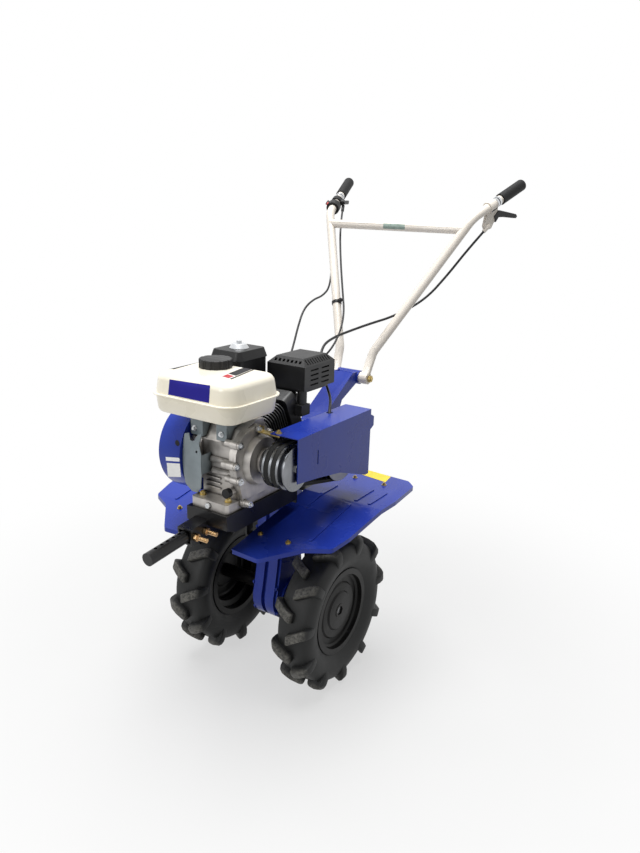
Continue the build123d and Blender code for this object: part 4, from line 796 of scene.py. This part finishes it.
# %% The tank's plate and stripes
tank_top = 880
film("tank_plate", ("fuel_tank",), ((-10, -393, 871), (103.4, -393, 875.3), (99.3, -393, 837.6),
                                    (-15, -393, 837)), print_blue, cells=(16, 8))
stripe_near, stripe_far = ((66.8, -331.9), (117.4, -343.3)), ((45.5, -206), (90.8, -214))


def across_stripe(left, right, start, end):
    """Corners of a strip inside the tank's right stripe, as shares of its width and its length."""
    corners = []
    for side, along in ((left, start), (right, start), (right, end), (left, end)):
        near = [a + (b - a) * side for a, b in zip(*stripe_near)]
        far = [a + (b - a) * side for a, b in zip(*stripe_far)]
        corners.append((*[a + (b - a) * along for a, b in zip(near, far)], tank_top))
    return corners


for name, shares, material, lift_mm in (
        ("tank_stripe_wide", (0.28, 0.80, 0.26, 1.0), print_black, 0.4),
        ("tank_stripe_thin", (0.88, 0.96, 0.02, 1.0), print_black, 0.9),
        ("tank_stripe_white", (0.10, 0.22, 0.02, 1.0), print_white, 0.4),
        ("tank_square_white", (0.26, 0.84, 0.00, 0.24), print_white, 0.4),
        ("tank_square_red", (0.33, 0.77, 0.03, 0.21), print_red, 0.8)):
    film(name, ("fuel_tank",), across_stripe(*shares), material, outward=(0, 0, 1),
         cells=(8, 40), lift_mm=lift_mm)
film("tank_stripe_left", ("fuel_tank",), ((-60, -352, tank_top), (-42, -346, tank_top),
                                          (-50, -256, tank_top), (-66, -262, tank_top)), print_black,
     outward=(0, 0, 1), cells=(8, 30))

# %% Labels on the fan housing, the fender and the crossbar, and painted shade in the housing's hole
film("blower_label_strip", ("blower_housing",), ((-96, -325, 660), (-53, -325, 667), (-52, -325, 658),
                                                 (-95, -325, 651)), print_white)
film("blower_label", ("blower_housing",), ((-93, -325, 646), (-52, -325, 653), (-49, -325, 621),
                                           (-91, -325, 612)), print_white)
# A black disc stands for the dark hole in the fan housing: its black is painted shade.
film("blower_plug", ("blower_housing",), ((-60, -330, 711), (-46, -330, 711), (-46, -330, 697),
                                          (-60, -330, 697)), print_black, cells=(8, 8), disc=True)
film("fender_label", ("fender_left",), ((132, 206, 512), (124, 250, 512), (206, 241, 512),
                                        (214, 194, 512)), print_yellow, outward=(0, 0, 1))
film("handle_label", ("handle_crossbar",), ((-30, 556, 1183), (43, 556, 1183), (43, 556, 1168),
                                            (-30, 556, 1168)), print_green, "handlebar")

# %% [markdown]
# ## Small parts of the controls
# Two chrome rings with a dark band between them stand between each rubber grip and its lever. A clip
# holds the throttle cable to the right arm, and the stop switch has a red cap. Rings and clip are
# profiles carried round the tube's own line, so they sit true on it. The clip's knob and the cap are
# buttons.

# %% A round button
button_sides, button_edge = 28, 0.8 * MM


def button(name, seat, facing, radius_mm, tip_mm, height_mm, material):
    """A short tapered button with soft rims, which stands on its seat."""
    work = bmesh.new()
    bmesh.ops.create_cone(work, cap_ends=True, segments=button_sides, radius1=radius_mm * MM,
                          radius2=tip_mm * MM, depth=height_mm * MM)
    rims = [edge for edge in work.edges if edge.calc_face_angle() > smooth_limit]
    bmesh.ops.bevel(work, geom=rims, offset=button_edge, segments=2, profile=0.5, affect="EDGES")
    bmesh.ops.transform(work, verts=work.verts,
                        matrix=Matrix.Translation(seat + facing * height_mm / 2 * MM)
                        @ facing.to_track_quat("Z", "Y").to_matrix().to_4x4())
    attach(mesh_object(name, work, material), "handlebar")


# %% Rings at the grips
arm_top, arm_tip = (243.0, 587.0, 1207.0), (303.0, 797.0, 1306.0)
ring_profile = ((0, 13.1), (0, 14.2), (0.8, 14.8), (6.2, 14.8), (7, 14.2), (7, 13.4), (11, 13.4),
                (11, 14.2), (11.8, 14.8), (17.2, 14.8), (18, 14.2), (18, 13.1))
band_profile = ((7.2, 13.5), (7.2, 14.1), (10.8, 14.1), (10.8, 13.5))
ring_start, tube_steps = 106 * MM, 40
for side, word in SIDES:
    start, end = (place(side * x, back, z) for x, back, z in (arm_top, arm_tip))
    run = (end - start).normalized()
    ring = turned(f"grip_ring_{word}", ring_profile, start + run * ring_start, run, tube_steps, chrome_band)
    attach(ring, "handlebar")
    band = turned(f"grip_band_{word}", band_profile, start + run * ring_start, run, tube_steps, nylon_black)
    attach(band, "handlebar")
print("grip rings at mm", round(ring_start / MM), "along the arms' tops")

# %% The clip that holds the throttle cable to the right arm
arm_bend, clip_share = (-57.0, 374.0, 825.0), 0.315
arm_start = place(*arm_bend)
arm_run = place(-arm_top[0], arm_top[1], arm_top[2]) - arm_start
clip_middle = arm_start + arm_run * clip_share
clip_band = ((-5, 13.05), (-5, 14.4), (-4.4, 15), (4.4, 15), (5, 14.4), (5, 13.05))
clip = turned("cable_clip_band", clip_band, clip_middle, arm_run, tube_steps, nylon_black)
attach(clip, "handlebar")
outer_side, arm_radius = Vector((0.86, -0.42, 0.0)), 13 * MM
knob_side = (outer_side - outer_side.project(arm_run)).normalized()
button("cable_clip_knob", clip_middle + knob_side * arm_radius, knob_side, 7.2, 5.8, 11, nylon_black)
print("clip at", [round(c / MM) for c in clip_middle])

# %% [markdown]
# ## Solids with two finishes
# The clutch bracket is painted like the handles while its lever is black, and the drain bolt is plated
# while the dipstick is plastic. Each pair is one solid, so its faces are sorted between the finishes by
# where they are.

# %% Faces with a second finish
bracket_top, bracket_back, drain_bolt_top = 1197, 660, 592


def second_finish(node, material, belongs):
    """Gives the second finish to the faces whose middle passes a test in the maker's millimetres."""
    mesh = dressed_pieces[node].data
    mesh.materials.append(material)
    for polygon in mesh.polygons:
        x, y, z = polygon.center / MM
        if belongs(x, y - AXLE_Y, z - FLOOR_DROP):
            polygon.material_index = 1


second_finish("clutch_lever", handle_enamel, lambda x, back, z: z < bracket_top or back < bracket_back)
second_finish("oil_plugs", bright_zinc, lambda x, back, z: z < drain_bolt_top)
print("pieces with two finishes", [name for name, piece in dressed_pieces.items()
                                   if len(piece.data.materials) > 1])

# %% The red cap of the stop switch
cap_side, cap_reach = Vector((-0.55, -0.6, 0.55)).normalized(), 100 * MM
switch_skin = skin_of(("kill_switch",))
switch_spots = [frame["nodes"]["kill_switch"].matrix_world @ v.co
                for v in frame["nodes"]["kill_switch"].data.vertices]
switch_middle = sum(switch_spots, Vector()) / len(switch_spots)
cap_spot, cap_normal = switch_skin.ray_cast(switch_middle + cap_side * cap_reach, -cap_side,
                                            2 * cap_reach)[:2]
print("switch middle", [round(c / MM) for c in switch_middle])
print("switch cap on the solid", cap_spot is not None)
if cap_spot:
    button("switch_cap", cap_spot, cap_normal, 6, 4.6, 4, switch_red)

# %% [markdown]
# ## The room
# A pale floor and a white surround stand for a studio. The floor keeps the shadow under the machine and
# turns to plain white further out. That white, and the white behind the machine, are colours that only
# the camera and the reflections see, and they add no light. The lamps are large and soft, so enamel
# shows broad highlights. The biggest hangs overhead, so that tops are lighter than sides.

# %% The floor's finish
fade_starts, fade_ends, least_white = 0.35, 1.5, 0.6  # the first two are metres from the middle


def seen_directly(tree):
    """One for rays that a picture shows: from the camera, off a glossy surface or through glass."""
    rays = add_node(tree, "ShaderNodeLightPath")
    seen = rays.outputs["Is Camera Ray"]
    for word in ("Is Glossy Ray", "Is Transmission Ray"):
        seen = add_node(tree, "ShaderNodeMath", {0: seen, 1: rays.outputs[word]},
                        operation="MAXIMUM").outputs[0]
    return seen


def studio_white(name, shade, tint):
    """A matt floor that keeps the shadow under the machine and fades to the white of the surround."""
    material, tree, spot = blank_material(name)
    grain = add_node(tree, "ShaderNodeTexNoise", {"Vector": spot, "Scale": 3.0})
    tone = add_node(tree, "ShaderNodeMix", {0: grain.outputs["Fac"], 6: linear(shade), 7: linear(tint)},
                    data_type="RGBA").outputs[2]
    matt = add_node(tree, "ShaderNodeBsdfPrincipled", {"Base Color": tone, "Roughness": 0.9,
                                                       "Specular IOR Level": 0.1})
    reach = add_node(tree, "ShaderNodeVectorMath", {0: spot}, operation="LENGTH").outputs["Value"]
    fade = add_node(tree, "ShaderNodeMapRange", {"Value": reach, "From Min": fade_starts,
                                                 "From Max": fade_ends, "To Min": least_white},
                    interpolation_type="SMOOTHSTEP").outputs["Result"]
    share = add_node(tree, "ShaderNodeMath", {0: fade, 1: seen_directly(tree)}, operation="MULTIPLY")
    white = add_node(tree, "ShaderNodeEmission", {"Color": (1.0, 1.0, 1.0, 1.0), "Strength": 1.0})
    both = add_node(tree, "ShaderNodeMixShader", {0: share.outputs[0], 1: matt.outputs[0],
                                                  2: white.outputs[0]})
    add_node(tree, "ShaderNodeOutputMaterial", {"Surface": both.outputs[0]})
    return material


# %% Floor
floor_radius = 9.0
floor_work = bmesh.new()
bmesh.ops.create_circle(floor_work, cap_ends=True, segments=96, radius=floor_radius)
floor = mesh_object("studio_floor", floor_work, studio_white("pale_studio_floor", "BCBCBB", "C4C4C3"))
print("floor radius m", floor_radius)

# %% Surround
world = bpy.data.worlds.new("studio surround")
bpy.context.scene.world = world
bpy.context.scene.view_settings.view_transform = "Standard"
world.use_nodes = True
sky = world.node_tree
sky.nodes.clear()
soft_fill = add_node(sky, "ShaderNodeBackground", {"Color": (0.95, 0.97, 1.0, 1.0), "Strength": 0.2})
plain_white = add_node(sky, "ShaderNodeBackground", {"Color": (1.0, 1.0, 1.0, 1.0), "Strength": 1.0})
surround = add_node(sky, "ShaderNodeMixShader", {0: seen_directly(sky), 1: soft_fill.outputs[0],
                                                 2: plain_white.outputs[0]})
add_node(sky, "ShaderNodeOutputWorld", {"Surface": surround.outputs[0]})
print("surround", world.name)

# %% Lamps


def softbox(name, spot, target, size, power):
    """A lit rectangle of the given sides in metres and power in watts, turned to its target."""
    lamp = bpy.data.lights.new(name, "AREA")
    lamp.shape = "RECTANGLE"
    lamp.size, lamp.size_y = size
    lamp.energy = power
    made = bpy.data.objects.new(name, lamp)
    made.location = spot
    made.rotation_euler = (Vector(target) - Vector(spot)).to_track_quat("-Z", "Y").to_euler()
    bpy.context.collection.objects.link(made)


middle = (0, 0, 0.6)
softbox("overhead_softbox", (-0.3, -0.3, 6.0), middle, (4.6, 3.8), 500)
softbox("front_softbox", (-0.9, -3.6, 2.2), middle, (1.8, 1.4), 46)
softbox("left_fill", (2.8, -1.2, 1.8), middle, (1.4, 1.4), 3)
print("lamps", len(bpy.data.lights))
